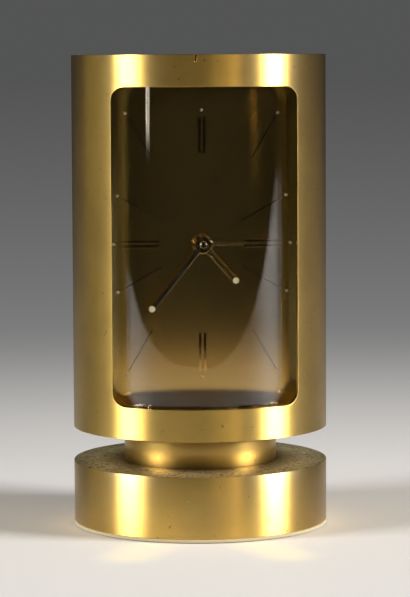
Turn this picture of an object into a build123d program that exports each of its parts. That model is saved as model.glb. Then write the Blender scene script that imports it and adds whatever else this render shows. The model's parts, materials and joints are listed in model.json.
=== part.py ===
from build123d import *
from math import atan2, cos, degrees, hypot, radians, sin, sqrt, tan
import os

# Pendulette clock with an eight-day alarm movement. Millimetres and degrees. +Z is up, the dial faces -Y,
# and the origin is in the middle of the underside. A depth is a place along Y and grows towards the rear.
# A spot is a pair (x, z) counted from the middle of the dial.

# Case and base
case_radius = 36.0
tube_wall = 3.0
tube_height = 105.3
foot_height = 0.8
foot_overhang = 0.2
base_height = 17.2
neck_height = 9.6
neck_radius = 21.6
neck_wall = 4.6
end_disc_thickness = 3.0
press_clearance = 0.02
seat_clearance = 0.15

# Front window, rear opening and the slit in the top rim
window_half_angle = 45.33
window_rim = 8.8
window_corner = 3.6
rear_rim = 19.65
rear_opening_corner = 9.0
finger_gap = 2.2
slit_width = 0.5
slit_depth = 2.0
slit_offset = -3.0
cap_key_width = 0.4
cap_key_length = 1.4

# Clamp through base, neck and case floor
clamp_bolt_radius = 3.0
clamp_head_radius = 5.2
clamp_head_height = 4.0
clamp_head_room = 0.5
clamp_nut_across_flats = 9.0
clamp_nut_height = 4.4
clamp_bolt_end = 1.0
clamp_hole_clearance = 0.2

# Glass, dial and what is on the dial
glass_thickness = 1.8
glass_gap = 0.2
dial_gap = 1.65
dial_thickness = 1.0
dial_bore_clearance = 0.1
index_thickness = 0.5
index_bar_width = 0.85
index_bar_pitch = 1.35
upright_index_length = 10.5
upright_index_gap = 1.7
level_index_length = 10.6
level_index_gap = 1.95
dot_radius = 0.45
dot_thickness = 0.3
dot_sides = 6
side_dot_margin = 1.25
upper_dot_margin = 6.55
near_side_dot_step = 1.05
near_upper_dot_step = 0.85
hour_angle = 30.0

# Hands, seen from the front. Clock angles run clockwise from twelve, which is at a bearing of a right angle.
twelve_angle = 90.0
minute_clock_angle = 218.5
hour_clock_angle = 138.2
alarm_clock_angle = 90.0
hand_thickness = 0.35
lume_thickness = 0.25
lume_radius = 0.85
lume_rim = 0.15
minute_hand_rise = 1.6
minute_hub_radius = 2.35
minute_hand_reach = 22.7
minute_hand_width = 1.35
inlay_width = 0.7
inlay_thickness = 0.12
inlay_inset = 0.6
hour_hand_rise = 1.7
hour_hub_radius = 2.7
hour_hand_reach = 13.6
hour_hand_width = 1.7
hour_slot_width = 0.8
alarm_hand_rise = 1.95
alarm_hub_radius = 2.6
alarm_hand_reach = 11.4
alarm_hand_root_width = 1.1
alarm_hand_tip_width = 0.6
hand_cap_radius = 0.95
hand_cap_length = 1.75
hand_cap_hole_radius = 0.35

# Concentric pipes in the middle of the dial
running_clearance = 0.04
centre_arbor_radius = 0.8
cannon_pipe_radius = 1.05
hour_pipe_radius = 1.5
alarm_pipe_radius = 2.0
centre_pipe_radius = 1.22

# Movement plates and what holds them
front_plate_depth = 6.0
plate_thickness = 1.2
plate_gap = 11.8
plate_height = 54.0
plate_margin = 0.4
plate_corner = 2.0
plate_tab_width = 20.0
plate_tab_margin = 2.5
pillar_radius = 1.5
pillar_inset = 2.1
rivet_radius = 0.8
rivet_rise = 0.1
bar_height = 8.0
bar_to_tube_end = 9.65
bar_end_gap = 0.4
tie_rod_radius = 1.5
tie_rod_inset = 4.75
tie_rod_head_radius = 3.0
tie_rod_head_height = 1.6
tie_rod_grip = 2.2
post_inset = 9.9
post_radius = 2.2
stud_radius = 1.0
dial_foot_length = 2.5
screw_head_radius = 1.8
screw_head_height = 0.9
screw_grip = 3.0
cover_depth = 13.0
cover_thickness = 1.0
cover_side_gap = 0.3

# Sides of the small round pieces, which are many-sided so that the model stays light
pivot_sides = 6
pin_sides = 8
tube_sides = 12
drum_sides = 20
disc_sides = 48

# Teeth, as shares of the module above and below the pitch circle. A leaf's root is a share of the pitch.
tooth_rise_share = 0.9
tooth_drop_share = 1.3
leaf_rise_share = 0.8
leaf_drop_share = 1.2
leaf_root_share = 0.34
wheel_thickness = 0.7
pinion_margin = 0.25
hub_radius_share = 0.2
rim_width_share = 0.16
arm_width_share = 0.15
wheel_arms = 4

# Arbors and pivots
pivot_radius = 0.4
pivot_shoulder = 0.15
slim_arbor_radius = 0.55
stout_arbor_radius = 0.7

# Motion work
cannon_teeth = 8
minute_wheel_teeth = 24
minute_pinion_leaves = 6
hour_wheel_teeth = 24
motion_distance = 8.4
minute_wheel_bearing = 200.0
minute_wheel_gap = 0.6
hour_wheel_gap = 0.55
minute_stud_radius = 0.7

# Alarm setting work
alarm_wheel_teeth = 24
alarm_set_leaves = 8
alarm_set_module = 0.78
alarm_set_bearing = 25.0
alarm_wheel_gap = 1.1
alarm_set_arbor_radius = 0.9

# Going train: teeth, modules, bearings from one arbor to the next, and each wheel's front depth
barrel_module = 0.66
going_barrel_teeth = 36
second_pinion_leaves = 6
second_wheel_teeth = 24
second_module = 0.69
centre_pinion_leaves = 6
centre_wheel_teeth = 48
centre_module = 0.34
third_pinion_leaves = 6
third_wheel_teeth = 45
third_module = 0.3
fourth_pinion_leaves = 6
fourth_wheel_teeth = 48
fourth_module = 0.26
escape_pinion_leaves = 6
escape_teeth = 15
second_bearing = -109.6
going_barrel_bearing = -10.0
third_bearing = 150.0
fourth_bearing = 75.0
escape_bearing = 20.0
second_wheel_depth = 4.6
centre_wheel_depth = 3.1
third_wheel_depth = -1.2
fourth_wheel_depth = 1.2
escape_wheel_depth = -3.0
escape_radius = 3.6
escape_root_radius = 2.7
escape_heel_share = 0.25
escape_thickness = 0.6

# Lever and balance
lever_distance = 5.2
lever_bearing = 0.0
lever_arm_width = 0.7
lever_fork_reach = 5.6
pallet_spread_angle = 40.0
pallet_clearance = 0.4
pallet_length = 1.0
pallet_width = 0.6
balance_distance = 7.5
balance_bearing = 4.0
balance_radius = 6.6
balance_rim_width = 1.1
balance_rim_height = 1.2
balance_depth = 0.6
balance_arm_width = 1.1
roller_radius = 1.5
roller_thickness = 0.5
roller_gap = 0.3
impulse_pin_radius = 0.2
hairspring_depth = 3.0
hairspring_height = 0.5
hairspring_strip = 0.16
hairspring_inner = 1.2
hairspring_pitch = 0.55
hairspring_turns = 3
hairspring_steps = 9
hairspring_stud_radius = 0.35

# Barrels, winding arbors, ratchets, clicks and keys
drum_front_depth = -4.3
flange_thickness = 1.0
going_drum_height = 6.8
going_drum_radius = 10.9
alarm_drum_height = 5.9
alarm_drum_radius = 7.2
drum_wall = 0.6
spring_gap = 0.2
going_spring_inner = 6.4
alarm_spring_inner = 4.4
winding_arbor_radius = 1.5
winding_core_radius = 2.2
ratchet_teeth = 18
ratchet_radius = 5.0
ratchet_drop = 0.7
ratchet_thickness = 1.0
ratchet_gap = 0.3
click_distance = 7.6
click_bearing = 75.0
click_spread_angle = -45.0
click_width = 1.6
click_clearance = 0.25
click_pin_radius = 0.6
key_stem_radius = 2.4
key_gap = 0.6
key_wing_span = 15.0
key_wing_height = 9.0
key_wing_thickness = 2.0
key_wing_corner = 3.0
key_stem_length = 4.0
cover_hole_clearance = 0.3

# Alarm barrel, hammer wheel, hammer and stop button
alarm_barrel_teeth = 24
hammer_pinion_leaves = 6
alarm_barrel_distance = 21.6
alarm_barrel_bearing = -131.4
hammer_wheel_bearing = 110.0
hammer_wheel_teeth = 15
hammer_wheel_radius = 3.4
hammer_wheel_root = 2.6
hammer_heel_share = 0.15
hammer_wheel_depth = 2.4
hammer_distance = 7.4
hammer_bearing = 95.0
hammer_arm_width = 1.2
hammer_reach = 16.5
hammer_lean_angle = 88.0
strike_side_angle = 90.0
hammer_arm_depth = 4.6
hammer_head_radius = 1.6
hammer_head_length = 4.0
strike_post_radius = 1.2
strike_gap = 1.8
verge_reach = 3.2
verge_spread_angle = 28.0
verge_width = 0.7
button_distance = 13.2
button_bearing = 74.0
button_rod_radius = 0.9
button_rod_end_depth = 4.2
button_radius = 2.8
button_length = 4.0
button_gap = 3.0

# Knobs
hand_knob_radius = 4.6
alarm_knob_radius = 3.9
knob_length = 4.2
knob_gap = 1.0
knob_ridges = 16
knob_ridge_height = 0.3

# Levels, depths and widths that follow from the sizes above
base_bottom = foot_height
base_top = base_bottom + base_height
neck_top = base_top + neck_height
tube_top = neck_top + tube_height
middle_height = neck_top + tube_height / 2
tube_inner = case_radius - tube_wall
window_width = 2 * case_radius * sin(radians(window_half_angle))
window_height = tube_height - 2 * window_rim
rear_opening_height = tube_height - 2 * rear_rim
bar_spot_z = tube_height / 2 - bar_to_tube_end
side_dot_x = window_width / 2 - side_dot_margin
upper_dot_z = window_height / 2 - upper_dot_margin
plate_tab_reach = bar_spot_z + plate_tab_margin
floor_top = neck_top + end_disc_thickness
cap_bottom = tube_top - end_disc_thickness
minute_wheel_depth = front_plate_depth + minute_wheel_gap + wheel_thickness
hour_wheel_depth = minute_wheel_depth + hour_wheel_gap + wheel_thickness
alarm_wheel_depth = hour_wheel_depth + alarm_wheel_gap + wheel_thickness
dial_depth = alarm_wheel_depth + dial_gap + dial_thickness
alarm_hand_depth = dial_depth + alarm_hand_rise
hour_hand_depth = alarm_hand_depth + hour_hand_rise
minute_hand_depth = hour_hand_depth + minute_hand_rise
dial_front = -dial_depth
dial_back = dial_front + dial_thickness
plate_front = -front_plate_depth
bar_middle = (dial_back + plate_front) / 2
inside_front = plate_front + plate_thickness
inside_back = inside_front + plate_gap
back_plate_back = inside_back + plate_thickness
cover_back = cover_depth + cover_thickness
ratchet_front = back_plate_back + ratchet_gap
ratchet_back = ratchet_front + ratchet_thickness
flange_back = drum_front_depth + flange_thickness
winding_arbor_back = cover_back + key_stem_length / 2
knob_front = cover_back + knob_gap
knob_bore_back = knob_front + knob_length / 2


def half_chord(radius, offset):
    return sqrt(radius**2 - offset**2)


tie_rod_x = half_chord(tube_inner, bar_middle) - tie_rod_inset
post_x = half_chord(tube_inner, cover_back) - post_inset


def toward(spot, distance, bearing):
    """The spot this far from another one; a bearing runs from +X towards +Z."""
    return (
        spot[0] + distance * cos(radians(bearing)),
        spot[1] + distance * sin(radians(bearing)),
    )


def mesh_distance(teeth, mates, module):
    return (teeth + mates) * module / 2


def motion_module(teeth, mates):
    return 2 * motion_distance / (teeth + mates)


def meshed(first_tooth, teeth, mates, bearing):
    """Where a mate's first tooth stands, so that its gaps take the teeth of the wheel that drives it."""
    return bearing + 180 + (bearing - first_tooth) * teeth / mates - 180 / mates


# Spots of the arbors
centre_spot = (0, 0)
minute_spot = toward(centre_spot, motion_distance, minute_wheel_bearing)
alarm_set_distance = mesh_distance(alarm_wheel_teeth, alarm_set_leaves, alarm_set_module)
alarm_set_spot = toward(centre_spot, alarm_set_distance, alarm_set_bearing)
second_distance = mesh_distance(second_wheel_teeth, centre_pinion_leaves, second_module)
second_spot = toward(centre_spot, second_distance, second_bearing)
going_distance = mesh_distance(going_barrel_teeth, second_pinion_leaves, barrel_module)
going_spot = toward(second_spot, going_distance, going_barrel_bearing)
third_distance = mesh_distance(centre_wheel_teeth, third_pinion_leaves, centre_module)
third_spot = toward(centre_spot, third_distance, third_bearing)
fourth_distance = mesh_distance(third_wheel_teeth, fourth_pinion_leaves, third_module)
fourth_spot = toward(third_spot, fourth_distance, fourth_bearing)
escape_distance = mesh_distance(fourth_wheel_teeth, escape_pinion_leaves, fourth_module)
escape_spot = toward(fourth_spot, escape_distance, escape_bearing)
lever_spot = toward(escape_spot, lever_distance, lever_bearing)
balance_spot = toward(lever_spot, balance_distance, balance_bearing)
alarm_spot = toward(centre_spot, alarm_barrel_distance, alarm_barrel_bearing)
hammer_wheel_distance = mesh_distance(alarm_barrel_teeth, hammer_pinion_leaves, barrel_module)
hammer_wheel_spot = toward(alarm_spot, hammer_wheel_distance, hammer_wheel_bearing)
hammer_spot = toward(hammer_wheel_spot, hammer_distance, hammer_bearing)
hammer_head_spot = toward(hammer_spot, hammer_reach, hammer_lean_angle)
strike_distance = hammer_head_radius + strike_gap + strike_post_radius
strike_spot = toward(hammer_head_spot, strike_distance, hammer_lean_angle + strike_side_angle)
button_spot = toward(hammer_spot, button_distance, button_bearing)
plate_width = 2 * (strike_post_radius + plate_margin - strike_spot[0])
pillar_x = plate_width / 2 - pillar_inset
pillar_z = plate_height / 2 - pillar_inset
winding_spots = [going_spot, alarm_spot]
rear_opening_width = 2 * (key_wing_span / 2 + finger_gap - alarm_spot[0])
pivot_spots = [
    second_spot, third_spot, fourth_spot, escape_spot, lever_spot, balance_spot,
    hammer_wheel_spot, hammer_spot,
]


def facing(depth):
    """An upright sketching plane at this depth, round the middle of the dial and looking forward."""
    return Plane(origin=(0, depth, middle_height), x_dir=(1, 0, 0), z_dir=(0, -1, 0))


def slab(outline, front, back):
    """An outline in spots, made solid from one depth to another."""
    return extrude(facing(back) * outline, amount=back - front)


def around(spot, radius, sides=pin_sides):
    """A many-sided outline whose corners lie on the circle, for a shaft."""
    return Pos(*spot) * RegularPolygon(radius, sides)


def hole(spot, radius, clearance=0, sides=pin_sides):
    """A many-sided outline whose sides touch the circle, for what a shaft turns or sits in."""
    return Pos(*spot) * RegularPolygon(radius + clearance, sides, major_radius=False)


def shaft(spot, radius, front, back, sides=pin_sides):
    return slab(around(spot, radius, sides), front, back)


def drilled(spot, radius, front, back, clearance=press_clearance, sides=pin_sides):
    """The solid to take away for a hole that a shaft fits."""
    return slab(hole(spot, radius, clearance, sides), front, back)


def upright(outline, low, high):
    """An outline in X and Y, made solid from one height to another."""
    return extrude(Pos(0, 0, low) * outline, amount=high - low)


def link(start, end, width):
    """The outline of a flat bar from one spot to another, with room for a pin at each end."""
    across, up = end[0] - start[0], end[1] - start[1]
    middle = Pos((start[0] + end[0]) / 2, (start[1] + end[1]) / 2)
    return middle * Rot(Z=degrees(atan2(up, across))) * Rectangle(hypot(across, up) + width, width)


def ringed_outline(count, corners, first=0):
    """A closed outline of equal teeth. Each corner is a radius and a share of the pitch."""
    points = []
    for tooth in range(count):
        for radius, share in corners:
            angle = radians(first + (tooth + share) * 360 / count)
            points.append((radius * cos(angle), radius * sin(angle)))
    return make_face(Polyline(*points, close=True))


def toothed(teeth, module, first_tooth=0):
    """The outline of a wheel with pointed teeth."""
    low = module * (teeth / 2 - tooth_drop_share)
    high = module * (teeth / 2 + tooth_rise_share)
    return ringed_outline(teeth, [(high, 0), (low, 0.5)], first_tooth)


def leaved(leaves, module, first_leaf=0):
    """The outline of a pinion, with room between its leaves."""
    low = module * (leaves / 2 - leaf_drop_share)
    high = module * (leaves / 2 + leaf_rise_share)
    return ringed_outline(leaves, [(low, -leaf_root_share), (high, 0), (low, leaf_root_share)], first_leaf)


def crossings(teeth, module):
    """The openings between the arms of a wheel."""
    pitch_radius = module * teeth / 2
    openings = RegularPolygon(pitch_radius * (1 - rim_width_share), tube_sides)
    openings -= RegularPolygon(pitch_radius * hub_radius_share, pin_sides)
    for arm in range(wheel_arms // 2):
        arms = Rectangle(2 * pitch_radius, pitch_radius * arm_width_share)
        openings -= Rot(Z=arm * 360 / wheel_arms) * arms
    return openings


def wheel(spot, teeth, module, front, first_tooth=0, crossed=False):
    outline = toothed(teeth, module, first_tooth)
    if crossed:
        outline -= crossings(teeth, module)
    return slab(Pos(*spot) * outline, front, front + wheel_thickness)


def pinion(spot, leaves, module, mate_front, first_leaf, mate_thickness=wheel_thickness):
    """A pinion that reaches past both faces of the wheel that it meshes with."""
    outline = Pos(*spot) * leaved(leaves, module, first_leaf)
    return slab(outline, mate_front - pinion_margin, mate_front + mate_thickness + pinion_margin)


def arbor(spot, radius):
    """A shaft between the plates, with a thin pivot through each."""
    body = shaft(spot, radius, inside_front + pivot_shoulder, inside_back - pivot_shoulder, pivot_sides)
    return body + shaft(spot, pivot_radius, plate_front, back_plate_back, pivot_sides)


def four_spots(x, z):
    return [(side * x, way * z) for side in (-1, 1) for way in (-1, 1)]


# Case and base


def case_tube():
    tube = upright(Circle(case_radius) - Circle(tube_inner), neck_top, tube_top)
    tube -= slab(RectangleRounded(window_width, window_height, window_corner), -case_radius, 0)
    rear = RectangleRounded(rear_opening_width, rear_opening_height, rear_opening_corner)
    tube -= slab(rear, 0, case_radius)
    slit = Pos(slit_offset, -case_radius) * Rectangle(slit_width, case_radius)
    return tube - upright(slit, tube_top - slit_depth, tube_top)


def rod_spots():
    return [(side * tie_rod_x, bar_middle) for side in (-1, 1)]


def top_cap():
    radius = tube_inner - press_clearance
    key_front = half_chord(radius, slit_offset) + cap_key_length
    key = Pos(slit_offset, -key_front / 2) * Rectangle(cap_key_width, key_front)
    cap = upright(RegularPolygon(radius, disc_sides), cap_bottom, tube_top)
    cap += upright(key, tube_top - slit_depth, tube_top)
    for spot in rod_spots():
        cap -= upright(hole(spot, tie_rod_radius, press_clearance), cap_bottom, cap_bottom + tie_rod_grip)
    return cap


def case_floor():
    disc = upright(RegularPolygon(tube_inner - press_clearance, disc_sides), neck_top, floor_top)
    disc -= upright(hole((0, 0), clamp_bolt_radius, clamp_hole_clearance), neck_top, floor_top)
    for spot in rod_spots():
        disc -= upright(hole(spot, tie_rod_radius, press_clearance), neck_top, floor_top)
        head_hole = hole(spot, tie_rod_head_radius, press_clearance)
        disc -= upright(head_hole, neck_top, neck_top + tie_rod_head_height)
    return disc


def neck_ring():
    bore = around((0, 0), neck_radius - neck_wall, drum_sides)
    return upright(Circle(neck_radius) - bore, base_top, neck_top)


def base_disc():
    disc = upright(Circle(case_radius), base_bottom, base_top)
    disc -= upright(hole((0, 0), clamp_bolt_radius, clamp_hole_clearance), base_bottom, base_top)
    head_room = hole((0, 0), clamp_head_radius, clamp_hole_clearance, tube_sides)
    return disc - upright(head_room, base_bottom, base_bottom + clamp_head_height + clamp_head_room)


def foot_pad():
    return upright(RegularPolygon(case_radius + foot_overhang, disc_sides), 0, foot_height)


def clamp_bolt():
    head_low = base_bottom + clamp_head_room
    head_top = head_low + clamp_head_height
    bolt = upright(around((0, 0), clamp_head_radius, tube_sides), head_low, head_top)
    bolt_end = floor_top + clamp_nut_height + clamp_bolt_end
    return bolt + upright(around((0, 0), clamp_bolt_radius), head_top, bolt_end)


def clamp_nut():
    outline = RegularPolygon(clamp_nut_across_flats / 2, 6, major_radius=False)
    outline -= hole((0, 0), clamp_bolt_radius, press_clearance)
    return upright(outline, floor_top, floor_top + clamp_nut_height)


# Rods, bars and posts that carry the dial, the movement and the rear cover


def tie_rods():
    rods = []
    for spot in rod_spots():
        head = upright(around(spot, tie_rod_head_radius), neck_top, neck_top + tie_rod_head_height)
        rods.append(head + upright(around(spot, tie_rod_radius), neck_top, cap_bottom + tie_rod_grip))
    return rods


def mounting_bars():
    """Cross bars between the dial and the front plate, clamped by the tie rods."""
    length = 2 * (half_chord(tube_inner, dial_back) - bar_end_gap)
    bars = []
    for way in (-1, 1):
        outline = Pos(0, way * bar_spot_z) * Rectangle(length, bar_height)
        for side in (-1, 1):
            outline -= hole((side * post_x, way * bar_spot_z), stud_radius, press_clearance)
        bar = slab(outline, dial_back, plate_front)
        bar -= drilled((0, way * bar_spot_z), stud_radius, plate_front - screw_grip, plate_front)
        middle = middle_height + way * bar_spot_z
        for spot in rod_spots():
            rod_hole = hole(spot, tie_rod_radius, press_clearance)
            bar -= upright(rod_hole, middle - bar_height / 2, middle + bar_height / 2)
        bars.append(bar)
    return bars


def cover_posts():
    """Posts that carry the rear cover, each held in a bar by its stud."""
    posts = []
    for spot in four_spots(post_x, bar_spot_z):
        pillar = shaft(spot, post_radius, plate_front, cover_depth)
        pillar += shaft(spot, stud_radius, plate_front - screw_grip, plate_front)
        posts.append(pillar - drilled(spot, stud_radius, cover_depth - screw_grip, cover_depth))
    return posts


def cover_screws():
    screws = []
    for spot in four_spots(post_x, bar_spot_z):
        head = shaft(spot, screw_head_radius, cover_back, cover_back + screw_head_height)
        end = cover_depth - screw_grip + seat_clearance
        screws.append(head + shaft(spot, stud_radius, end, cover_back))
    return screws


def tab_spots():
    return [(0, way * bar_spot_z) for way in (-1, 1)]


def movement_screws():
    screws = []
    for spot in tab_spots():
        head = shaft(spot, screw_head_radius, inside_front, inside_front + screw_head_height)
        end = plate_front - screw_grip + seat_clearance
        screws.append(head + shaft(spot, stud_radius, end, inside_front))
    return screws


def standing(half_width):
    """The outline of an upright plate that stands on the case floor, with a little room under the cap."""
    height = cap_bottom - floor_top - seat_clearance
    return Pos(0, -seat_clearance / 2) * Rectangle(2 * half_width, height)


def back_cover():
    outline = standing(half_chord(tube_inner, cover_back) - cover_side_gap)
    for spot in winding_spots:
        outline -= hole(spot, key_stem_radius, cover_hole_clearance, tube_sides)
    outline -= hole(centre_spot, centre_arbor_radius, cover_hole_clearance)
    outline -= hole(alarm_set_spot, alarm_set_arbor_radius, cover_hole_clearance)
    outline -= hole(button_spot, button_rod_radius, running_clearance)
    for spot in four_spots(post_x, bar_spot_z):
        outline -= hole(spot, stud_radius, press_clearance)
    return slab(outline, cover_depth, cover_back)


# Glass and dial


def window_glass():
    """A curved pane whose edges stand on the face of the dial."""
    outer = tube_inner - glass_gap
    outline = Circle(outer) - Circle(outer - glass_thickness)
    outline &= Pos(0, dial_front - case_radius) * Rectangle(4 * case_radius, 2 * case_radius)
    return upright(outline, floor_top, cap_bottom - seat_clearance)


def dial():
    outline = standing(half_chord(tube_inner, dial_front) - seat_clearance)
    outline -= hole(centre_spot, alarm_pipe_radius, dial_bore_clearance, tube_sides)
    plate = slab(outline, dial_front, dial_back)
    for spot in four_spots(post_x, bar_spot_z):
        plate += shaft(spot, stud_radius, dial_back, dial_back + dial_foot_length)
    return plate


def quarter_indices():
    """Double bars at the quarters, each with its outer end just inside the dot of that hour."""
    tall = Rectangle(index_bar_width, upright_index_length)
    level = Rectangle(level_index_length, index_bar_width)
    tall_middle = upper_dot_z - upright_index_gap - upright_index_length / 2
    level_middle = side_dot_x - level_index_gap - level_index_length / 2
    outlines = []
    for way in (-1, 1):
        for side in (-1, 1):
            offset = side * index_bar_pitch / 2
            outlines.append(Pos(offset, way * tall_middle) * tall)
            outlines.append(Pos(way * level_middle, offset) * level)
    return [slab(outline, dial_front - index_thickness, dial_front) for outline in outlines]


def hour_dots():
    near_side_x = side_dot_x - near_side_dot_step
    near_upper_z = upper_dot_z - near_upper_dot_step
    slope = tan(radians(hour_angle))
    spots = [(side_dot_x, 0), (-side_dot_x, 0), (0, upper_dot_z), (0, -upper_dot_z)]
    spots += four_spots(near_side_x, near_side_x * slope)
    spots += four_spots(near_upper_z * slope, near_upper_z)
    return [shaft(spot, dot_radius, dial_front - dot_thickness, dial_front, dot_sides) for spot in spots]


# Hands. Each is drawn along +X and then turned to its clock angle.


def turned(outline, clock_angle):
    return Rot(Z=twelve_angle - clock_angle) * outline


def hand_outline(hub, reach, width):
    """A hub, a straight blade and the rim that holds the luminous dot."""
    outline = RegularPolygon(hub, drum_sides) + Pos(reach / 2, 0) * Rectangle(reach, width)
    return outline + around((reach, 0), lume_radius + lume_rim, tube_sides)


def blade_strip(hub, reach, width):
    """The strip along the middle of a blade, clear of the hub and of the luminous dot."""
    start, end = hub + inlay_inset, reach - lume_radius - lume_rim - inlay_inset
    return Pos((start + end) / 2, 0) * Rectangle(end - start, width)


def hand(outline, bore_radius, clock_angle, depth):
    outline -= hole(centre_spot, bore_radius, press_clearance)
    return slab(turned(outline, clock_angle), -depth, hand_thickness - depth)


def minute_inlay():
    strip = blade_strip(minute_hub_radius, minute_hand_reach, inlay_width)
    return slab(turned(strip, minute_clock_angle), -minute_hand_depth, inlay_thickness - minute_hand_depth)


def minute_hand():
    outline = hand_outline(minute_hub_radius, minute_hand_reach, minute_hand_width)
    return hand(outline, cannon_pipe_radius, minute_clock_angle, minute_hand_depth) - minute_inlay()


def hour_hand():
    outline = hand_outline(hour_hub_radius, hour_hand_reach, hour_hand_width)
    outline -= blade_strip(hour_hub_radius, hour_hand_reach, hour_slot_width)
    return hand(outline, hour_pipe_radius, hour_clock_angle, hour_hand_depth)


def lume(reach, clock_angle, depth):
    dot = around((reach, 0), lume_radius, tube_sides)
    return slab(turned(dot, clock_angle), -depth - lume_thickness, -depth)


def alarm_hand():
    root, tip = alarm_hand_root_width / 2, alarm_hand_tip_width / 2
    corners = [(0, -root), (alarm_hand_reach, -tip), (alarm_hand_reach, tip), (0, root)]
    outline = RegularPolygon(alarm_hub_radius, drum_sides) + make_face(Polyline(*corners, close=True))
    return hand(outline, alarm_pipe_radius, alarm_clock_angle, alarm_hand_depth)


def hand_cap():
    back = -minute_hand_depth
    front = back - hand_cap_length
    cap = shaft(centre_spot, hand_cap_radius, front, back, tube_sides)
    return cap - shaft(centre_spot, hand_cap_hole_radius, front, (front + back) / 2)


# Motion work and alarm setting work


def centre_arbor():
    return shaft(centre_spot, centre_arbor_radius, -minute_hand_depth, knob_bore_back)


def cannon_pinion():
    module = motion_module(cannon_teeth, minute_wheel_teeth)
    body = pinion(centre_spot, cannon_teeth, module, -minute_wheel_depth, minute_wheel_bearing)
    back = -minute_wheel_depth + wheel_thickness + pinion_margin
    body += shaft(centre_spot, cannon_pipe_radius, -minute_hand_depth, back)
    return body - drilled(centre_spot, centre_arbor_radius, -minute_hand_depth, back)


def minute_wheel():
    front = -minute_wheel_depth
    module = motion_module(cannon_teeth, minute_wheel_teeth)
    first = meshed(minute_wheel_bearing, cannon_teeth, minute_wheel_teeth, minute_wheel_bearing)
    body = wheel(minute_spot, minute_wheel_teeth, module, front, first)
    pinion_front = -hour_wheel_depth - pinion_margin
    pinion_module = motion_module(minute_pinion_leaves, hour_wheel_teeth)
    outline = leaved(minute_pinion_leaves, pinion_module, minute_wheel_bearing)
    body += slab(Pos(*minute_spot) * outline, pinion_front, front)
    back = front + wheel_thickness
    return body - drilled(minute_spot, minute_stud_radius, pinion_front, back, running_clearance)


def hour_wheel():
    module = motion_module(minute_pinion_leaves, hour_wheel_teeth)
    first = meshed(minute_wheel_bearing, minute_pinion_leaves, hour_wheel_teeth, minute_wheel_bearing + 180)
    front, back = -hour_wheel_depth, wheel_thickness - hour_wheel_depth
    body = wheel(centre_spot, hour_wheel_teeth, module, front, first)
    body += shaft(centre_spot, hour_pipe_radius, -hour_hand_depth, front)
    return body - drilled(centre_spot, cannon_pipe_radius, -hour_hand_depth, back, running_clearance)


def alarm_wheel():
    front, back = -alarm_wheel_depth, wheel_thickness - alarm_wheel_depth
    body = wheel(centre_spot, alarm_wheel_teeth, alarm_set_module, front, alarm_set_bearing)
    body += shaft(centre_spot, alarm_pipe_radius, -alarm_hand_depth, front)
    return body - drilled(centre_spot, hour_pipe_radius, -alarm_hand_depth, back, running_clearance)


def alarm_set_arbor():
    front = -alarm_wheel_depth
    first = meshed(alarm_set_bearing, alarm_wheel_teeth, alarm_set_leaves, alarm_set_bearing)
    body = pinion(alarm_set_spot, alarm_set_leaves, alarm_set_module, front, first)
    return body + shaft(alarm_set_spot, alarm_set_arbor_radius, front - pinion_margin, knob_bore_back)


def knob(spot, radius, shaft_radius):
    """A ridged knob with a blind bore that takes its shaft."""
    outline = Pos(*spot) * ringed_outline(knob_ridges, [(radius - knob_ridge_height, 0), (radius, 0.5)])
    body = slab(outline, knob_front, knob_front + knob_length)
    return body - drilled(spot, shaft_radius, knob_front, knob_bore_back)


def key(spot):
    """A winding key: a stem on the winding arbor, with a flat wing."""
    front = ratchet_back + seat_clearance
    stem_back = cover_back + key_stem_length
    wing_front = stem_back - key_gap
    wing = Rectangle(key_wing_span, key_wing_height)
    wing = chamfer(wing.vertices(), key_wing_corner)
    middle = middle_height + spot[1]
    wing = Pos(spot[0], wing_front + key_wing_height / 2) * wing
    wing = upright(wing, middle - key_wing_thickness / 2, middle + key_wing_thickness / 2)
    stem = shaft(spot, key_stem_radius, front, stem_back, tube_sides)
    return stem + wing - drilled(spot, winding_arbor_radius, front, winding_arbor_back + seat_clearance)


# Movement


def plate_holes(outline):
    """The holes that both plates have."""
    outline -= hole(centre_spot, centre_pipe_radius, running_clearance)
    outline -= hole(alarm_set_spot, alarm_set_arbor_radius, running_clearance)
    for spot in pivot_spots:
        outline -= hole(spot, pivot_radius, running_clearance, pivot_sides)
    for spot in winding_spots:
        outline -= hole(spot, winding_arbor_radius, running_clearance)
    return outline


def front_plate():
    outline = Rectangle(plate_width, plate_height) + Rectangle(plate_tab_width, 2 * plate_tab_reach)
    outline = plate_holes(chamfer(outline.vertices(), plate_corner))
    for spot in tab_spots():
        outline -= hole(spot, stud_radius, press_clearance)
    plate = slab(outline, plate_front, inside_front)
    return plate + shaft(minute_spot, minute_stud_radius, -hour_wheel_depth - pinion_margin, plate_front)


def click_pivot(spot):
    return toward(spot, click_distance, click_bearing)


def back_plate():
    outline = plate_holes(chamfer(Rectangle(plate_width, plate_height).vertices(), plate_corner))
    for spot in winding_spots:
        outline -= hole(click_pivot(spot), click_pin_radius, running_clearance, pivot_sides)
    outline -= hole(button_spot, button_rod_radius, running_clearance)
    for spot in four_spots(pillar_x, pillar_z):
        outline -= hole(spot, rivet_radius, press_clearance, pivot_sides)
    plate = slab(outline, inside_back, back_plate_back)
    return plate + shaft(strike_spot, strike_post_radius, inside_front, inside_back)


def plate_pillars():
    """Pillars between the plates, riveted through the back one."""
    return [
        shaft(spot, pillar_radius, inside_front, inside_back)
        + shaft(spot, rivet_radius, inside_back, back_plate_back + rivet_rise, pivot_sides)
        for spot in four_spots(pillar_x, pillar_z)
    ]


def barrel(spot, teeth, radius, height):
    """A mainspring drum with a toothed flange, bored for its winding arbor."""
    back = drum_front_depth + height
    drum = slab(Pos(*spot) * toothed(teeth, barrel_module), drum_front_depth, flange_back)
    drum += shaft(spot, radius, flange_back, back, drum_sides)
    drum -= shaft(spot, radius - drum_wall, flange_back, back - drum_wall, drum_sides)
    return drum - drilled(spot, winding_arbor_radius, drum_front_depth, back, running_clearance)


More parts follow.
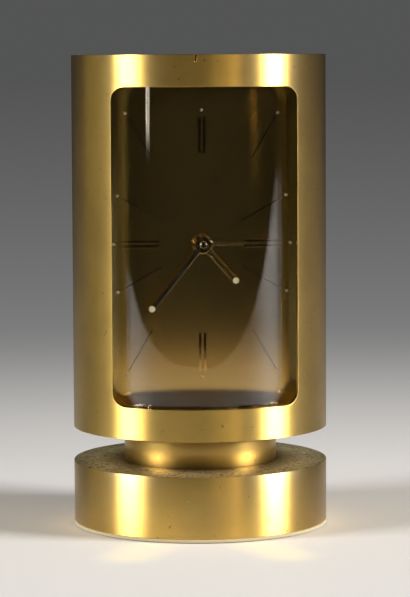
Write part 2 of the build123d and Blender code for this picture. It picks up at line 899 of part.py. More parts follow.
def barrel_pinion(spot, leaves, first_leaf):
    """A pinion that a barrel drives."""
    return pinion(spot, leaves, barrel_module, drum_front_depth, first_leaf, flange_thickness)


def spring_depths(height):
    return flange_back + spring_gap, drum_front_depth + height - drum_wall - spring_gap


def mainspring(spot, radius, height, inner):
    """A wound strip, packed tight against the wall of its drum."""
    outline = around(spot, radius - drum_wall - spring_gap, tube_sides)
    outline -= hole(spot, inner, sides=tube_sides)
    return slab(outline, *spring_depths(height))


def winding_arbor(spot, height):
    """The arbor that a key turns, with its core in the drum and its ratchet wheel behind the plate."""
    body = shaft(spot, winding_arbor_radius, plate_front, winding_arbor_back)
    body += shaft(spot, winding_core_radius, *spring_depths(height))
    corners = [(ratchet_radius, 0), (ratchet_radius - ratchet_drop, 0)]
    return body + slab(Pos(*spot) * ringed_outline(ratchet_teeth, corners), ratchet_front, ratchet_back)


def click(spot):
    """A click whose nose stands just clear of the ratchet wheel's teeth."""
    pivot = click_pivot(spot)
    nose_distance = ratchet_radius + click_clearance + click_width
    nose = toward(spot, nose_distance, click_bearing + click_spread_angle)
    body = slab(link(pivot, nose, click_width), ratchet_front, ratchet_back)
    return body + shaft(pivot, click_pin_radius, inside_back, ratchet_front, pivot_sides)


def second_wheel():
    body = arbor(second_spot, stout_arbor_radius)
    body += wheel(second_spot, second_wheel_teeth, second_module, second_wheel_depth)
    first = meshed(0, going_barrel_teeth, second_pinion_leaves, going_barrel_bearing + 180)
    return body + barrel_pinion(second_spot, second_pinion_leaves, first)


def centre_wheel():
    body = wheel(centre_spot, centre_wheel_teeth, centre_module, centre_wheel_depth, crossed=True)
    body += shaft(centre_spot, centre_pipe_radius, plate_front, back_plate_back)
    first = meshed(0, second_wheel_teeth, centre_pinion_leaves, second_bearing + 180)
    body += pinion(centre_spot, centre_pinion_leaves, second_module, second_wheel_depth, first)
    bore = drilled(centre_spot, centre_arbor_radius, plate_front, back_plate_back, running_clearance)
    return body - bore


def third_wheel():
    body = arbor(third_spot, slim_arbor_radius)
    first = meshed(0, centre_wheel_teeth, third_pinion_leaves, third_bearing)
    body += pinion(third_spot, third_pinion_leaves, centre_module, centre_wheel_depth, first)
    return body + wheel(third_spot, third_wheel_teeth, third_module, third_wheel_depth)


def fourth_wheel():
    body = arbor(fourth_spot, slim_arbor_radius)
    first = meshed(0, third_wheel_teeth, fourth_pinion_leaves, fourth_bearing)
    body += pinion(fourth_spot, fourth_pinion_leaves, third_module, third_wheel_depth, first)
    return body + wheel(fourth_spot, fourth_wheel_teeth, fourth_module, fourth_wheel_depth)


def escape_wheel():
    body = arbor(escape_spot, slim_arbor_radius)
    first = meshed(0, fourth_wheel_teeth, escape_pinion_leaves, escape_bearing)
    body += pinion(escape_spot, escape_pinion_leaves, fourth_module, fourth_wheel_depth, first)
    corners = [(escape_radius, 0), (escape_root_radius, escape_heel_share)]
    outline = Pos(*escape_spot) * ringed_outline(escape_teeth, corners)
    return body + slab(outline, escape_wheel_depth, escape_wheel_depth + escape_thickness)


def pallet_lever():
    """The lever, its fork arm and two pallets that stand just clear of the escape wheel."""
    outline = link(lever_spot, toward(lever_spot, lever_fork_reach, balance_bearing), lever_arm_width)
    for side in (-1, 1):
        bearing = lever_bearing + side * pallet_spread_angle
        middle = toward(escape_spot, escape_radius + pallet_clearance + pallet_length / 2, bearing)
        outline += link(lever_spot, middle, lever_arm_width)
        outline += Pos(*middle) * Rot(Z=bearing) * Rectangle(pallet_length, pallet_width)
    body = slab(outline, escape_wheel_depth, escape_wheel_depth + escape_thickness)
    return body + arbor(lever_spot, slim_arbor_radius)


def balance_wheel():
    body = arbor(balance_spot, slim_arbor_radius)
    rim = RegularPolygon(balance_radius, drum_sides)
    rim -= RegularPolygon(balance_radius - balance_rim_width, drum_sides)
    rim += Rectangle(2 * balance_radius - balance_rim_width, balance_arm_width)
    body += slab(Pos(*balance_spot) * rim, balance_depth, balance_depth + balance_rim_height)
    roller_front = escape_wheel_depth + escape_thickness + roller_gap
    body += shaft(balance_spot, roller_radius, roller_front, roller_front + roller_thickness)
    pin_spot = toward(balance_spot, roller_radius - 2 * impulse_pin_radius, balance_bearing + 180)
    return body + shaft(pin_spot, impulse_pin_radius, escape_wheel_depth, roller_front)


def hairspring():
    """A spiral strip whose outer end is held by a stud in the back plate."""
    inner, outer = [], []
    for step in range(hairspring_turns * hairspring_steps + 1):
        turn = step / hairspring_steps
        radius = hairspring_inner + turn * hairspring_pitch
        for side, line in ((-1, inner), (1, outer)):
            line.append(toward(balance_spot, radius + side * hairspring_strip / 2, 360 * turn))
    outline = make_face(Polyline(*outer, *reversed(inner), close=True))
    coil = slab(outline, hairspring_depth, hairspring_depth + hairspring_height)
    return coil + shaft(outer[-1], hairspring_stud_radius, hairspring_depth, inside_back)


def hammer_wheel():
    body = arbor(hammer_wheel_spot, slim_arbor_radius)
    first = meshed(0, alarm_barrel_teeth, hammer_pinion_leaves, hammer_wheel_bearing)
    body += barrel_pinion(hammer_wheel_spot, hammer_pinion_leaves, first)
    corners = [(hammer_wheel_radius, 0), (hammer_wheel_root, hammer_heel_share)]
    outline = Pos(*hammer_wheel_spot) * ringed_outline(hammer_wheel_teeth, corners)
    return body + slab(outline, hammer_wheel_depth, hammer_wheel_depth + wheel_thickness)


def alarm_hammer():
    """The hammer with its two verge pallets over the hammer wheel."""
    outline = around(hammer_spot, slim_arbor_radius)
    for side in (-1, 1):
        tip = toward(hammer_spot, verge_reach, hammer_bearing + 180 + side * verge_spread_angle)
        outline += link(hammer_spot, tip, verge_width)
    body = arbor(hammer_spot, slim_arbor_radius)
    body += slab(outline, hammer_wheel_depth, hammer_wheel_depth + wheel_thickness)
    arm_back = hammer_arm_depth + wheel_thickness
    body += slab(link(hammer_spot, hammer_head_spot, hammer_arm_width), hammer_arm_depth, arm_back)
    return body + shaft(hammer_head_spot, hammer_head_radius, arm_back - hammer_head_length, arm_back)


def alarm_stop_button():
    head_front = cover_back + button_gap
    head = shaft(button_spot, button_radius, head_front, head_front + button_length, tube_sides)
    return head + shaft(button_spot, button_rod_radius, button_rod_end_depth, head_front)


sub_parts = {
    "case_tube": case_tube(),
    "top_cap": top_cap(),
    "case_floor": case_floor(),
    "neck_ring": neck_ring(),
    "base_disc": base_disc(),
    "foot_pad": foot_pad(),
    "clamp_bolt": clamp_bolt(),
    "clamp_nut": clamp_nut(),
    "tie_rods": tie_rods(),
    "mounting_bars": mounting_bars(),
    "cover_posts": cover_posts(),
    "cover_screws": cover_screws(),
    "movement_screws": movement_screws(),
    "back_cover": back_cover(),
    "window_glass": window_glass(),
    "dial": dial(),
    "quarter_indices": quarter_indices(),
    "hour_dots": hour_dots(),
    "minute_hand": minute_hand(),
    "minute_inlay": minute_inlay(),
    "minute_lume": lume(minute_hand_reach, minute_clock_angle, minute_hand_depth),
    "hour_hand": hour_hand(),
    "hour_lume": lume(hour_hand_reach, hour_clock_angle, hour_hand_depth),
    "alarm_hand": alarm_hand(),
    "hand_cap": hand_cap(),
    "centre_arbor": centre_arbor(),
    "cannon_pinion": cannon_pinion(),
    "minute_wheel": minute_wheel(),
    "hour_wheel": hour_wheel(),
    "alarm_wheel": alarm_wheel(),
    "alarm_set_arbor": alarm_set_arbor(),
    "hand_set_knob": knob(centre_spot, hand_knob_radius, centre_arbor_radius),
    "alarm_set_knob": knob(alarm_set_spot, alarm_knob_radius, alarm_set_arbor_radius),
    "front_plate": front_plate(),
    "back_plate": back_plate(),
    "plate_pillars": plate_pillars(),
    "going_barrel": barrel(going_spot, going_barrel_teeth, going_drum_radius, going_drum_height),
    "going_mainspring": mainspring(going_spot, going_drum_radius, going_drum_height, going_spring_inner),
    "going_winding_arbor": winding_arbor(going_spot, going_drum_height),
    "going_click": click(going_spot),
    "going_key": key(going_spot),
    "alarm_barrel": barrel(alarm_spot, alarm_barrel_teeth, alarm_drum_radius, alarm_drum_height),
    "alarm_mainspring": mainspring(alarm_spot, alarm_drum_radius, alarm_drum_height, alarm_spring_inner),
    "alarm_winding_arbor": winding_arbor(alarm_spot, alarm_drum_height),
    "alarm_click": click(alarm_spot),
    "alarm_key": key(alarm_spot),
    "second_wheel": second_wheel(),
    "centre_wheel": centre_wheel(),
    "third_wheel": third_wheel(),
    "fourth_wheel": fourth_wheel(),
    "escape_wheel": escape_wheel(),
    "pallet_lever": pallet_lever(),
    "balance_wheel": balance_wheel(),
    "hairspring": hairspring(),
    "hammer_wheel": hammer_wheel(),
    "alarm_hammer": alarm_hammer(),
    "alarm_stop_button": alarm_stop_button(),
}

os.makedirs("parts", exist_ok=True)
for name, shape in sub_parts.items():
    pieces = shape if isinstance(shape, list) else [shape]
    solids = [solid for piece in pieces for solid in piece.solids()]
    export_step(Compound(children=solids) if len(solids) > 1 else solids[0], f"parts/{name}.step")
    print(name, len(solids), round(sum(solid.volume for solid in solids)))

arbors = {
    "minute wheel": minute_spot,
    "alarm setting": alarm_set_spot,
    "second": second_spot,
    "going": going_spot,
    "third": third_spot,
    "fourth": fourth_spot,
    "escape": escape_spot,
    "lever": lever_spot,
    "balance": balance_spot,
    "alarm": alarm_spot,
    "hammer wheel": hammer_wheel_spot,
    "hammer": hammer_spot,
    "button": button_spot,
    "going click": click_pivot(going_spot),
    "alarm click": click_pivot(alarm_spot),
}
for name, spot in arbors.items():
    print(name, "arbor at", round(spot[0], 4), round(middle_height + spot[1], 4))
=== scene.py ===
# %% [markdown]
# # A brass pendulette clock
# The object is a small table alarm clock. A thick brass tube stands on a short satin neck, and the neck on a
# heavy brass foot disc. A tall window is milled through the front of the tube, and behind it sit a curved
# glass, a satin gilt dial and three hands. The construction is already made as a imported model, in metres,
# with the origin in the middle of the underside, Z up and the dial towards -Y. This notebook dresses it.

import json
from math import asin, cos, dist, pi, radians, sin, tau

import bmesh
import bpy
from mathutils import Matrix, Vector


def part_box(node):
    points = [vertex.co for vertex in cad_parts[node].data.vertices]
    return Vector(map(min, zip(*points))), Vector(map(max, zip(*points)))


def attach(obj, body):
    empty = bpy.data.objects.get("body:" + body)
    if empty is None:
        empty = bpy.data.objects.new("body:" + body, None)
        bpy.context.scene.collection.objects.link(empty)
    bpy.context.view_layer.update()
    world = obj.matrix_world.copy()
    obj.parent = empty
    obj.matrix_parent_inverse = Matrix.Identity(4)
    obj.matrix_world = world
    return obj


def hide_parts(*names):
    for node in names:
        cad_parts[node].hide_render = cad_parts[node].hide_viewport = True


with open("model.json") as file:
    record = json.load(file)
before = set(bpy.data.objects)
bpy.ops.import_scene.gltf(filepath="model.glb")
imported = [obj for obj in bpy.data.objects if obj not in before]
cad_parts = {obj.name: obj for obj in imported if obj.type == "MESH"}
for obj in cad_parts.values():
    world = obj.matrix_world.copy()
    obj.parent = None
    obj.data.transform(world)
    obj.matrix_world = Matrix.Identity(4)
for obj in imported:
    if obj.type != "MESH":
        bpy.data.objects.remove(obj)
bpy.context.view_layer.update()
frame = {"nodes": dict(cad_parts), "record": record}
mm = 0.001

# %% [markdown]
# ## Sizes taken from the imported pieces
# Every dressed piece has to sit exactly where its packed one sits, because that is where the joints and the
# other pieces expect it. So the sizes could be typed again, or read from the frame. They are read from the
# frame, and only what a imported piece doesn't tell, such as the width of a chamfer, is named here.

# %% Read the main sizes
tube_low, tube_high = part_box("case_tube")
case_radius = tube_high.x
neck_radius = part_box("neck_ring")[1].x
middle_height = (tube_low.z + tube_high.z) / 2
dial_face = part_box("dial")[0].y
print("case radius", round(case_radius, 4), "middle of the dial at", round(middle_height, 4))

# %% [markdown]
# ## Turned pieces
# The tube, neck, foot and knobs come off a lathe. A modifier such as Screw could sweep their outline, but a
# short function that places the rings itself gives clean four-sided faces and full control over the seam. The
# outline is a closed list of points, each a radius and a place along the axis.

# %% Make meshes and place pieces
merge_distance, shortest_edge = 0.001 * mm, 0.0005 * mm
dressed = []


def in_scene(name, data):
    """A new object that shows in the scene."""
    thing = bpy.data.objects.new(name, data)
    bpy.context.scene.collection.objects.link(thing)
    return thing


def placed(name, mesh, body, slot_name, *nodes):
    """Put a mesh into the scene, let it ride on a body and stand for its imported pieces."""
    piece = in_scene(name, mesh)
    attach(piece, body)
    if nodes:
        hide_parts(*nodes)
    dressed.append((piece, slot_name))
    return piece


def tidy_mesh(name, vertices, faces):
    """Make a mesh, merge points that meet on an axis and turn all faces outwards."""
    mesh = bpy.data.meshes.new(name)
    mesh.from_pydata(vertices, [], faces)
    work = bmesh.new()
    work.from_mesh(mesh)
    bmesh.ops.remove_doubles(work, verts=work.verts, dist=merge_distance)
    bmesh.ops.dissolve_degenerate(work, edges=work.edges, dist=shortest_edge)
    bmesh.ops.recalc_face_normals(work, faces=work.faces)
    work.to_mesh(mesh)
    work.free()
    return mesh


print("points within", merge_distance, "m of each other become one")

# %% Turn an outline
turning_steps = 240
flute_zone = 0.3 * mm


def turned(name, outline, along="Z", centre=(0, 0, 0), steps=turning_steps, flutes=0, flute_depth=0):
    """Turn a closed outline round the Z or Y axis, with flutes round its widest part if asked."""
    widest = max(radius for radius, level in outline)
    count = len(outline)
    vertices, faces = [], []
    for step in range(steps):
        angle = tau * step / steps
        wave = flute_depth * (1 + cos(flutes * angle)) / 2 if flutes else 0
        for radius, level in outline:
            reach = radius - wave if flutes and radius > widest - flute_zone else radius
            across, up = reach * cos(angle), reach * sin(angle)
            place = (across, up, level) if along == "Z" else (across, level, up)
            vertices.append([a + b for a, b in zip(centre, place)])
    for step in range(steps):
        here, there = step * count, (step + 1) % steps * count
        for i in range(count):
            j = (i + 1) % count
            faces.append((here + i, there + i, there + j, here + j))
    return tidy_mesh(name, vertices, faces)


print("turned pieces get", turning_steps, "steps round")

# %% Soften the edges


def shaded(mesh, sharp_angle=25.0):
    """Shade a mesh smooth, and sharp only at true corners."""
    mesh.shade_smooth()
    mesh.set_sharp_from_angle(angle=radians(sharp_angle))
    return mesh


def soften(piece, width, steps=2, sharp_angle=30.0):
    """Break the sharp edges, as a file or a polishing wheel does, and shade the rest smooth."""
    shaded(piece.data, sharp_angle)
    bevel = piece.modifiers.new("edge break", "BEVEL")
    bevel.width = width
    bevel.segments = steps
    bevel.limit_method = "ANGLE"
    bevel.angle_limit = radians(sharp_angle)
    bevel.use_clamp_overlap = False
    bevel.harden_normals = True
    return piece


def apply_modifiers(piece):
    """Keep the shape that the modifiers give as the piece's own mesh."""
    graph = bpy.context.evaluated_depsgraph_get()
    finished = bpy.data.meshes.new_from_object(piece.evaluated_get(graph))
    piece.modifiers.clear()
    piece.data = finished


print("edges are broken by bevels, which can be made a part of the mesh")

# %% [markdown]
# ## Flat pieces
# The dial furniture, the hands and the rear plate are stamped or sawn from sheet. Each is drawn as an outline
# in X and Z, with holes where it needs them, filled and given its thickness along Y. Curves with a bevel
# could do it too, but a filled mesh keeps its flat faces truly flat, and polished flat faces show every dent.

# %% Draw outlines


def arc(centre, radius, start, end, steps=24):
    """Points along an arc, from one angle to another, in X and Z."""
    return [
        (centre[0] + radius * cos(start + (end - start) * i / steps),
         centre[1] + radius * sin(start + (end - start) * i / steps))
        for i in range(steps + 1)
    ]


def circle(centre, radius, steps=64):
    return arc(centre, radius, 0, tau, steps)[:-1]


def rounded_rectangle(centre, width, height, corner, steps=10):
    """A rectangle with round corners, counted anticlockwise."""
    points = []
    quarter = pi / 2
    for turn, (side, way) in enumerate([(1, 1), (-1, 1), (-1, -1), (1, -1)]):
        middle = (centre[0] + side * (width / 2 - corner), centre[1] + way * (height / 2 - corner))
        points += arc(middle, corner, turn * quarter, (turn + 1) * quarter, steps)
    return points


def box_outline(low_x, high_x, low_z, high_z):
    return [(low_x, low_z), (high_x, low_z), (high_x, high_z), (low_x, high_z)]


def turned_outline(points, clock_angle):
    """Turn an outline that was drawn along +X round the middle of the dial to a clock angle."""
    turn = pi / 2 - radians(clock_angle)
    return [
        (x * cos(turn) - z * sin(turn), middle_height + x * sin(turn) + z * cos(turn))
        for x, z in points
    ]


print("outlines are drawn in X and Z")

# %% Fill outlines


def thickened(name, work, faces, shift):
    """Pull filled faces out into a closed body and make it a mesh."""
    grown = bmesh.ops.extrude_face_region(work, geom=faces)
    moved = [part for part in grown["geom"] if isinstance(part, bmesh.types.BMVert)]
    bmesh.ops.translate(work, verts=moved, vec=shift)
    bmesh.ops.recalc_face_normals(work, faces=work.faces)
    mesh = bpy.data.meshes.new(name)
    work.to_mesh(mesh)
    work.free()
    return mesh


def flat_piece(name, outlines, front, back):
    """Fill outlines, with holes inside the first, and give them thickness from front to back along Y."""
    work = bmesh.new()
    for outline in outlines:
        corners = [work.verts.new((x, front, z)) for x, z in outline]
        for i, corner in enumerate(corners):
            work.edges.new((corner, corners[(i + 1) % len(corners)]))
    bmesh.ops.triangle_fill(work, use_beauty=True, edges=work.edges)
    return thickened(name, work, work.faces[:], (0, back - front, 0))


print("flat pieces get their thickness along Y")

# %% [markdown]
# ## The brass tube
# The real tube is turned from thick bar, brushed round and round with fine grit, and the window is milled
# straight in from the front, so its side walls run parallel to the line of sight and not towards the axis.
# Bending a flat plate with a hole in it would give walls that point at the axis. A boolean cut with a
# straight block gives the milled ones, so the tube is turned first and cut after.

# %% Turn the tube and mill its openings
tube_wall = 3.0 * mm
window_half_angle = radians(45.33)
window_rim = 8.8 * mm
window_corner = 3.6 * mm
rear_half_width = 24.0 * mm
rear_rim = 19.65 * mm
rear_corner = 9.0 * mm
slit_offset = -3.0 * mm
slit_width = 0.5 * mm
slit_depth = 2.0 * mm
tube_edge = 0.12 * mm
tube_inner = case_radius - tube_wall
tube_height = tube_high.z - tube_low.z
window_half_width = case_radius * sin(window_half_angle)


def cut(piece, cutter_mesh):
    """Take a block away from a piece."""
    cutter = in_scene("cutter", cutter_mesh)
    mill = piece.modifiers.new("milling", "BOOLEAN")
    mill.operation = "DIFFERENCE"
    mill.solver = "EXACT"
    mill.object = cutter
    apply_modifiers(piece)
    bpy.data.objects.remove(cutter)


def opening(name, half_width, rim, corner, front, back):
    """The block that mills an opening with round corners, which leaves a rim above and below."""
    outline = rounded_rectangle((0, middle_height), 2 * half_width, tube_height - 2 * rim, corner)
    return flat_piece(name, [outline], front, back)


def make_tube():
    wall = box_outline(tube_inner, case_radius, tube_low.z, tube_high.z)
    tube = placed("tube", turned("tube", wall), "case", "case_brass", "case_tube")
    cut(tube, opening("window", window_half_width, window_rim, window_corner, -2 * case_radius, 0))
    cut(tube, opening("rear", rear_half_width, rear_rim, rear_corner, 0, 2 * case_radius))
    left, right = slit_offset - slit_width / 2, slit_offset + slit_width / 2
    floor, above = tube_high.z - slit_depth, tube_high.z + slit_depth
    cut(tube, flat_piece("slit", [box_outline(left, right, floor, above)], -2 * case_radius, -tube_inner / 2))
    return soften(tube, tube_edge, steps=3)


tube = make_tube()
print("tube:", len(tube.data.polygons), "faces, window", round(2 * window_half_width / mm, 1), "mm wide")

# %% [markdown]
# ## Foot, neck and pad
# The foot is one heavy disc with a crisp edge, the neck a short satin collar, and under the foot there is a
# thin pale pad that stands out by a hair. All three are plain turned outlines. A modifier could break their
# edges, but a chamfer that is drawn into the outline keeps its exact width.

# %% Turn the foot, the neck and the pad
base_edge = 0.2 * mm
base_bore = 3.2 * mm
neck_bore = 17.0 * mm
neck_edge = 0.1 * mm
pad_edge = 0.08 * mm


def chamfered(inner, outer, low, high, edge):
    """The outline of a ring whose outer edges are broken."""
    inset = 0.3 * edge
    return [
        (inner, low), (outer - edge, low), (outer - inset, low + inset), (outer, low + edge),
        (outer, high - edge), (outer - inset, high - inset), (outer - edge, high), (inner, high),
    ]


def turned_piece(name, node, slot_name, bore, edge):
    """Turn a piece of the case, as wide and as high as its packed one."""
    low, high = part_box(node)
    mesh = turned(name, chamfered(bore, high.x, low.z, high.z, edge))
    return placed(name, shaded(mesh), "case", slot_name, node)


base = turned_piece("foot_disc", "base_disc", "base_brass", base_bore, base_edge)
neck = turned_piece("neck", "neck_ring", "neck_brass", neck_bore, neck_edge)
pad = turned_piece("pad", "foot_pad", "pad_felt", 0, pad_edge)
print("foot disc, neck and pad:", [len(piece.data.polygons) for piece in (base, neck, pad)], "faces")

# %% [markdown]
# ## The curved glass
# The glass is a strip of tube that follows the inside of the case and stands with its side edges on the dial.
# One bent sheet would be simpler. It is a closed body with a true thickness instead, because light bends once
# on the way in and once on the way out. The pale floor shows in its outer face as a curved veil.

# %% Bend the glass
glass_gap = 0.2 * mm
glass_thickness = 1.8 * mm
glass_steps = 120


def spread(start, end, steps):
    return [start + (end - start) * i / steps for i in range(steps + 1)]


def glass_outline():
    """The section of the pane, from the left edge over the front to the right edge and back inside."""
    outer = tube_inner - glass_gap
    inner = outer - glass_thickness
    outer_half = pi / 2 - asin(-dial_face / outer)
    inner_half = pi / 2 - asin(-dial_face / inner)
    front = [(outer * sin(t), -outer * cos(t)) for t in spread(-outer_half, outer_half, glass_steps)]
    inside = [(inner * sin(t), -inner * cos(t)) for t in spread(inner_half, -inner_half, glass_steps)]
    return front + inside


def standing_piece(name, outline, low, high):
    """Give an outline in X and Y its height along Z, as two caps of strips and a wall."""
    count = len(outline)
    vertices = [(x, y, low) for x, y in outline] + [(x, y, high) for x, y in outline]
    faces = [(i, (i + 1) % count, count + (i + 1) % count, count + i) for i in range(count)]
    half = count // 2
    for i in range(half - 1):
        mate = count - 1 - i
        faces.append((i, mate, mate - 1, i + 1))
        faces.append((count + i, count + i + 1, count + mate - 1, count + mate))
    return tidy_mesh(name, vertices, faces)


def make_glass():
    low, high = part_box("window_glass")
    mesh = standing_piece("glass", glass_outline(), low.z, high.z)
    return placed("glass", shaded(mesh, 30.0), "case", "clear_glass", "window_glass")


glass = make_glass()
print("glass:", round(glass_thickness / mm, 1), "mm thick,", len(glass.data.polygons), "faces")

# %% [markdown]
# ## Marks on the dial
# At the quarters there are double bars, cut from polished strip and pinned on. At the other hours a hair-thin
# black line is printed, and every hour ends in a small cream dot. Bars and dots are real bodies, so they
# catch the light at their edges. The printed lines are given the thickness of the paint, which is far too
# thin to see, so that they too are geometry and not a picture.

# %% Set the dots
dot_radius = 0.45 * mm
dot_rise = 0.3 * mm
dot_steps = 24


def joined(name, meshes, body, slot_name, *nodes):
    """Make one piece of several loose bodies."""
    work = bmesh.new()
    for mesh in meshes:
        work.from_mesh(mesh)
        bpy.data.meshes.remove(mesh)
    whole = bpy.data.meshes.new(name)
    work.to_mesh(whole)
    work.free()
    return placed(name, whole, body, slot_name, *nodes)


def domed_dot(x, z, radius, rise, front):
    """A small cream dot with a rounded face, standing forward from this depth."""
    flank, shoulder = (radius, -0.5 * rise), (0.9 * radius, -0.8 * rise)
    outline = [(0, 0), (radius, 0), flank, shoulder, (0.6 * radius, -rise), (0, -rise)]
    return turned("dot", outline, along="Y", centre=(x, front, z), steps=dot_steps)


def dot_places():
    """The middle of each dot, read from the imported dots."""
    groups = []
    for vertex in frame["nodes"]["hour_dots"].data.vertices:
        place = (vertex.co.x, vertex.co.z)
        near = [group for group in groups if dist(place, group[0]) < 3 * dot_radius]
        if near:
            near[0].append(place)
        else:
            groups.append([place])
    return [[(min(values) + max(values)) / 2 for values in zip(*group)] for group in groups]


domes = [domed_dot(x, z, dot_radius, dot_rise, dial_face) for x, z in dot_places()]
print(len(domes), "dots")
dots = joined("hour_marks", domes, "case", "cream_paint", "hour_dots")
dots.data.shade_smooth()

# %% Set the quarter bars and print the lines
index_bar_width, index_bar_pitch = 0.85 * mm, 1.35 * mm
index_thickness = 0.5 * mm
bar_edge = 0.04 * mm
upright_index_span = 25.1 * mm, 35.6 * mm
level_index_span = 11.8 * mm, 22.4 * mm
line_width = 0.26 * mm
paint_thickness = 0.02 * mm
side_line_span = 12.8 * mm, 25.7 * mm
long_line_span = 27.9 * mm, 40.8 * mm


def flat_bar(name, span, middle, width, clock_angle, front, back):
    """A thin bar that points away from the middle of the dial, at a clock angle."""
    outline = box_outline(*span, middle - width / 2, middle + width / 2)
    return flat_piece(name, [turned_outline(outline, clock_angle)], front, back)


def quarter_bars():
    bars = []
    front = dial_face - index_thickness
    for clock_angle in (0, 90, 180, 270):
        span = upright_index_span if clock_angle in (0, 180) else level_index_span
        for side in (-1, 1):
            middle = side * index_bar_pitch / 2
            bars.append(flat_bar("bar", span, middle, index_bar_width, clock_angle, front, dial_face))
    return soften(joined("quarter_bars", bars, "case", "index_brass", "quarter_indices"), bar_edge)


def printed_lines():
    lines = []
    front = dial_face - paint_thickness
    for hour in (1, 2, 4, 5, 7, 8, 10, 11):
        span = side_line_span if hour in (2, 4, 8, 10) else long_line_span
        lines.append(flat_bar("line", span, 0, line_width, 30 * hour, front, dial_face))
    return joined("printed_lines", lines, "case", "dark_paint")


bars = quarter_bars()
lines = printed_lines()
print(len(bars.data.polygons), "bar faces,", len(lines.data.polygons), "line faces")

# %% [markdown]
# ## Hands
# All three hands are stamped from brass sheet and polished on their edges. The minute hand has a black strip
# along its middle, the hour hand is open between two rails, and both carry a cream luminous dot in a thin rim
# near the tip. Hub, blade and rim could be bodies that a boolean joins. One closed line round all of them
# leaves no seams, so that is how each hand is drawn.

# %% Stamp the hands
hand_edge = 0.07 * mm
minute_clock_angle, hour_clock_angle, alarm_clock_angle = 218.5, 138.2, 90.0
minute_reach, hour_reach, alarm_reach = 22.7 * mm, 13.6 * mm, 11.4 * mm
minute_hub, hour_hub, alarm_hub = 2.35 * mm, 2.7 * mm, 2.6 * mm
minute_width, hour_width = 1.35 * mm, 1.7 * mm
alarm_root_width, alarm_tip_width = 1.1 * mm, 0.6 * mm
lume_radius, lume_rim = 0.85 * mm, 0.15 * mm
rim_radius = lume_radius + lume_rim
slot_root_gap, slot_tip_gap = 0.5 * mm, 0.3 * mm
slot_width, slot_corner = 0.86 * mm, 0.2 * mm
hub_steps, tip_steps = 72, 36


def hub_arc(hub, width):
    """Round the hub, open towards +X for a blade of this width."""
    turn = asin(width / 2 / hub)
    return arc((0, 0), hub, turn, tau - turn, hub_steps)


def blade_outline(hub, reach, width):
    """Round the hub, along the blade and round the rim of the dot, drawn along +X."""
    tip_turn = asin(width / 2 / rim_radius)
    return hub_arc(hub, width) + arc((reach, 0), rim_radius, -pi + tip_turn, pi - tip_turn, tip_steps)


def alarm_outline():
    half_tip = alarm_tip_width / 2
    return hub_arc(alarm_hub, alarm_root_width) + [(alarm_reach, -half_tip), (alarm_reach, half_tip)]


def hour_slot():
    start, end = hour_hub + slot_root_gap, hour_reach - rim_radius - slot_tip_gap
    return rounded_rectangle(((start + end) / 2, 0), end - start, slot_width, slot_corner, 4)


def stamped(name, node, body, slot_name, outlines, clock_angle, edge=hand_edge):
    """Cut a hand from sheet. Its outlines are drawn along +X and turned to their place on the dial."""
    low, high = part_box(node)
    mesh = flat_piece(node, [turned_outline(outline, clock_angle) for outline in outlines], low.y, high.y)
    return soften(placed(name, mesh, body, slot_name, node), edge)


minute_shape = [blade_outline(minute_hub, minute_reach, minute_width)]
hour_shape = [blade_outline(hour_hub, hour_reach, hour_width), hour_slot()]
hands = [
    stamped("minute_blade", "minute_hand", "minute_work", "hand_gilt", minute_shape, minute_clock_angle),
    stamped("hour_blade", "hour_hand", "hour_work", "index_brass", hour_shape, hour_clock_angle),
    stamped("alarm_blade", "alarm_hand", "alarm_pointer", "hand_gilt", [alarm_outline()], alarm_clock_angle,
            0.5 * hand_edge),
]
print("hands:", [piece.name for piece in hands])

# %% Add the strip, the luminous dots and the cap
inlay_width = 0.78 * mm
strip_gap, strip_stand, strip_depth = 0.2 * mm, 0.03 * mm, 0.1 * mm
cap_hole_share, cap_hole_depth = 0.42, 0.5 * mm
cap_shoulder, cap_bevel = 0.3 * mm, 0.1 * mm
cap_steps = 64


def make_minute_strip():
    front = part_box("minute_hand")[0].y
    span = minute_hub + strip_gap, minute_reach - rim_radius - strip_gap
    front, back = front - strip_stand, front + strip_depth
    mesh = flat_bar("strip", span, 0, inlay_width, minute_clock_angle, front, back)
    return placed("minute_strip", mesh, "minute_work", "dark_paint", "minute_inlay")


def luminous_dot(name, reach, clock_angle, body, node):
    low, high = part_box(node)
    (x, z), = turned_outline([(reach, 0)], clock_angle)
    mesh = domed_dot(x, z, lume_radius, high.y - low.y, high.y)
    mesh.shade_smooth()
    return placed(name, mesh, body, "cream_paint", node)


def make_hand_cap():
    """The round nut on the centre arbor, with the arbor's end sunk in it."""
    low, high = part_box("hand_cap")
    radius, front, back = high.x, low.y, high.y
    hole, sunk = cap_hole_share * radius, front + cap_hole_depth
    outline = [
        (0, back), (radius, back), (radius, front + cap_shoulder), (0.9 * radius, front + cap_bevel),
        (0.75 * radius, front), (hole, front), (hole, sunk), (0, sunk),
    ]
    mesh = turned("hand_cap", outline, along="Y", centre=(0, 0, middle_height), steps=cap_steps)
    return placed("centre_cap", shaded(mesh), "minute_work", "index_brass", "hand_cap")


extras = [
    make_hand_cap(),
    make_minute_strip(),
    luminous_dot("minute_light", minute_reach, minute_clock_angle, "minute_work", "minute_lume"),
    luminous_dot("hour_light", hour_reach, hour_clock_angle, "hour_work", "hour_lume"),
]
print("on the hands:", [piece.name for piece in extras])

# %% [markdown]
# ## The rear
# Behind the rear opening there is a flat brass plate with the winding keys, the two setting knobs and the
# alarm stop button. The photo doesn't show this side, so it has what such clocks have and nothing more. Keys
# have a round stem and a rounded wing, and the knobs are fluted for the fingers. The flutes could be milled
# one by one, but a wave in the turned radius makes them all at once.

# %% Make the rear plate
cover_clearance, cover_edge = 0.3 * mm, 0.1 * mm
centre_arbor_radius, alarm_arbor_radius = 0.8 * mm, 0.9 * mm
key_stem_radius = 2.4 * mm
button_hole_radius = 0.95 * mm


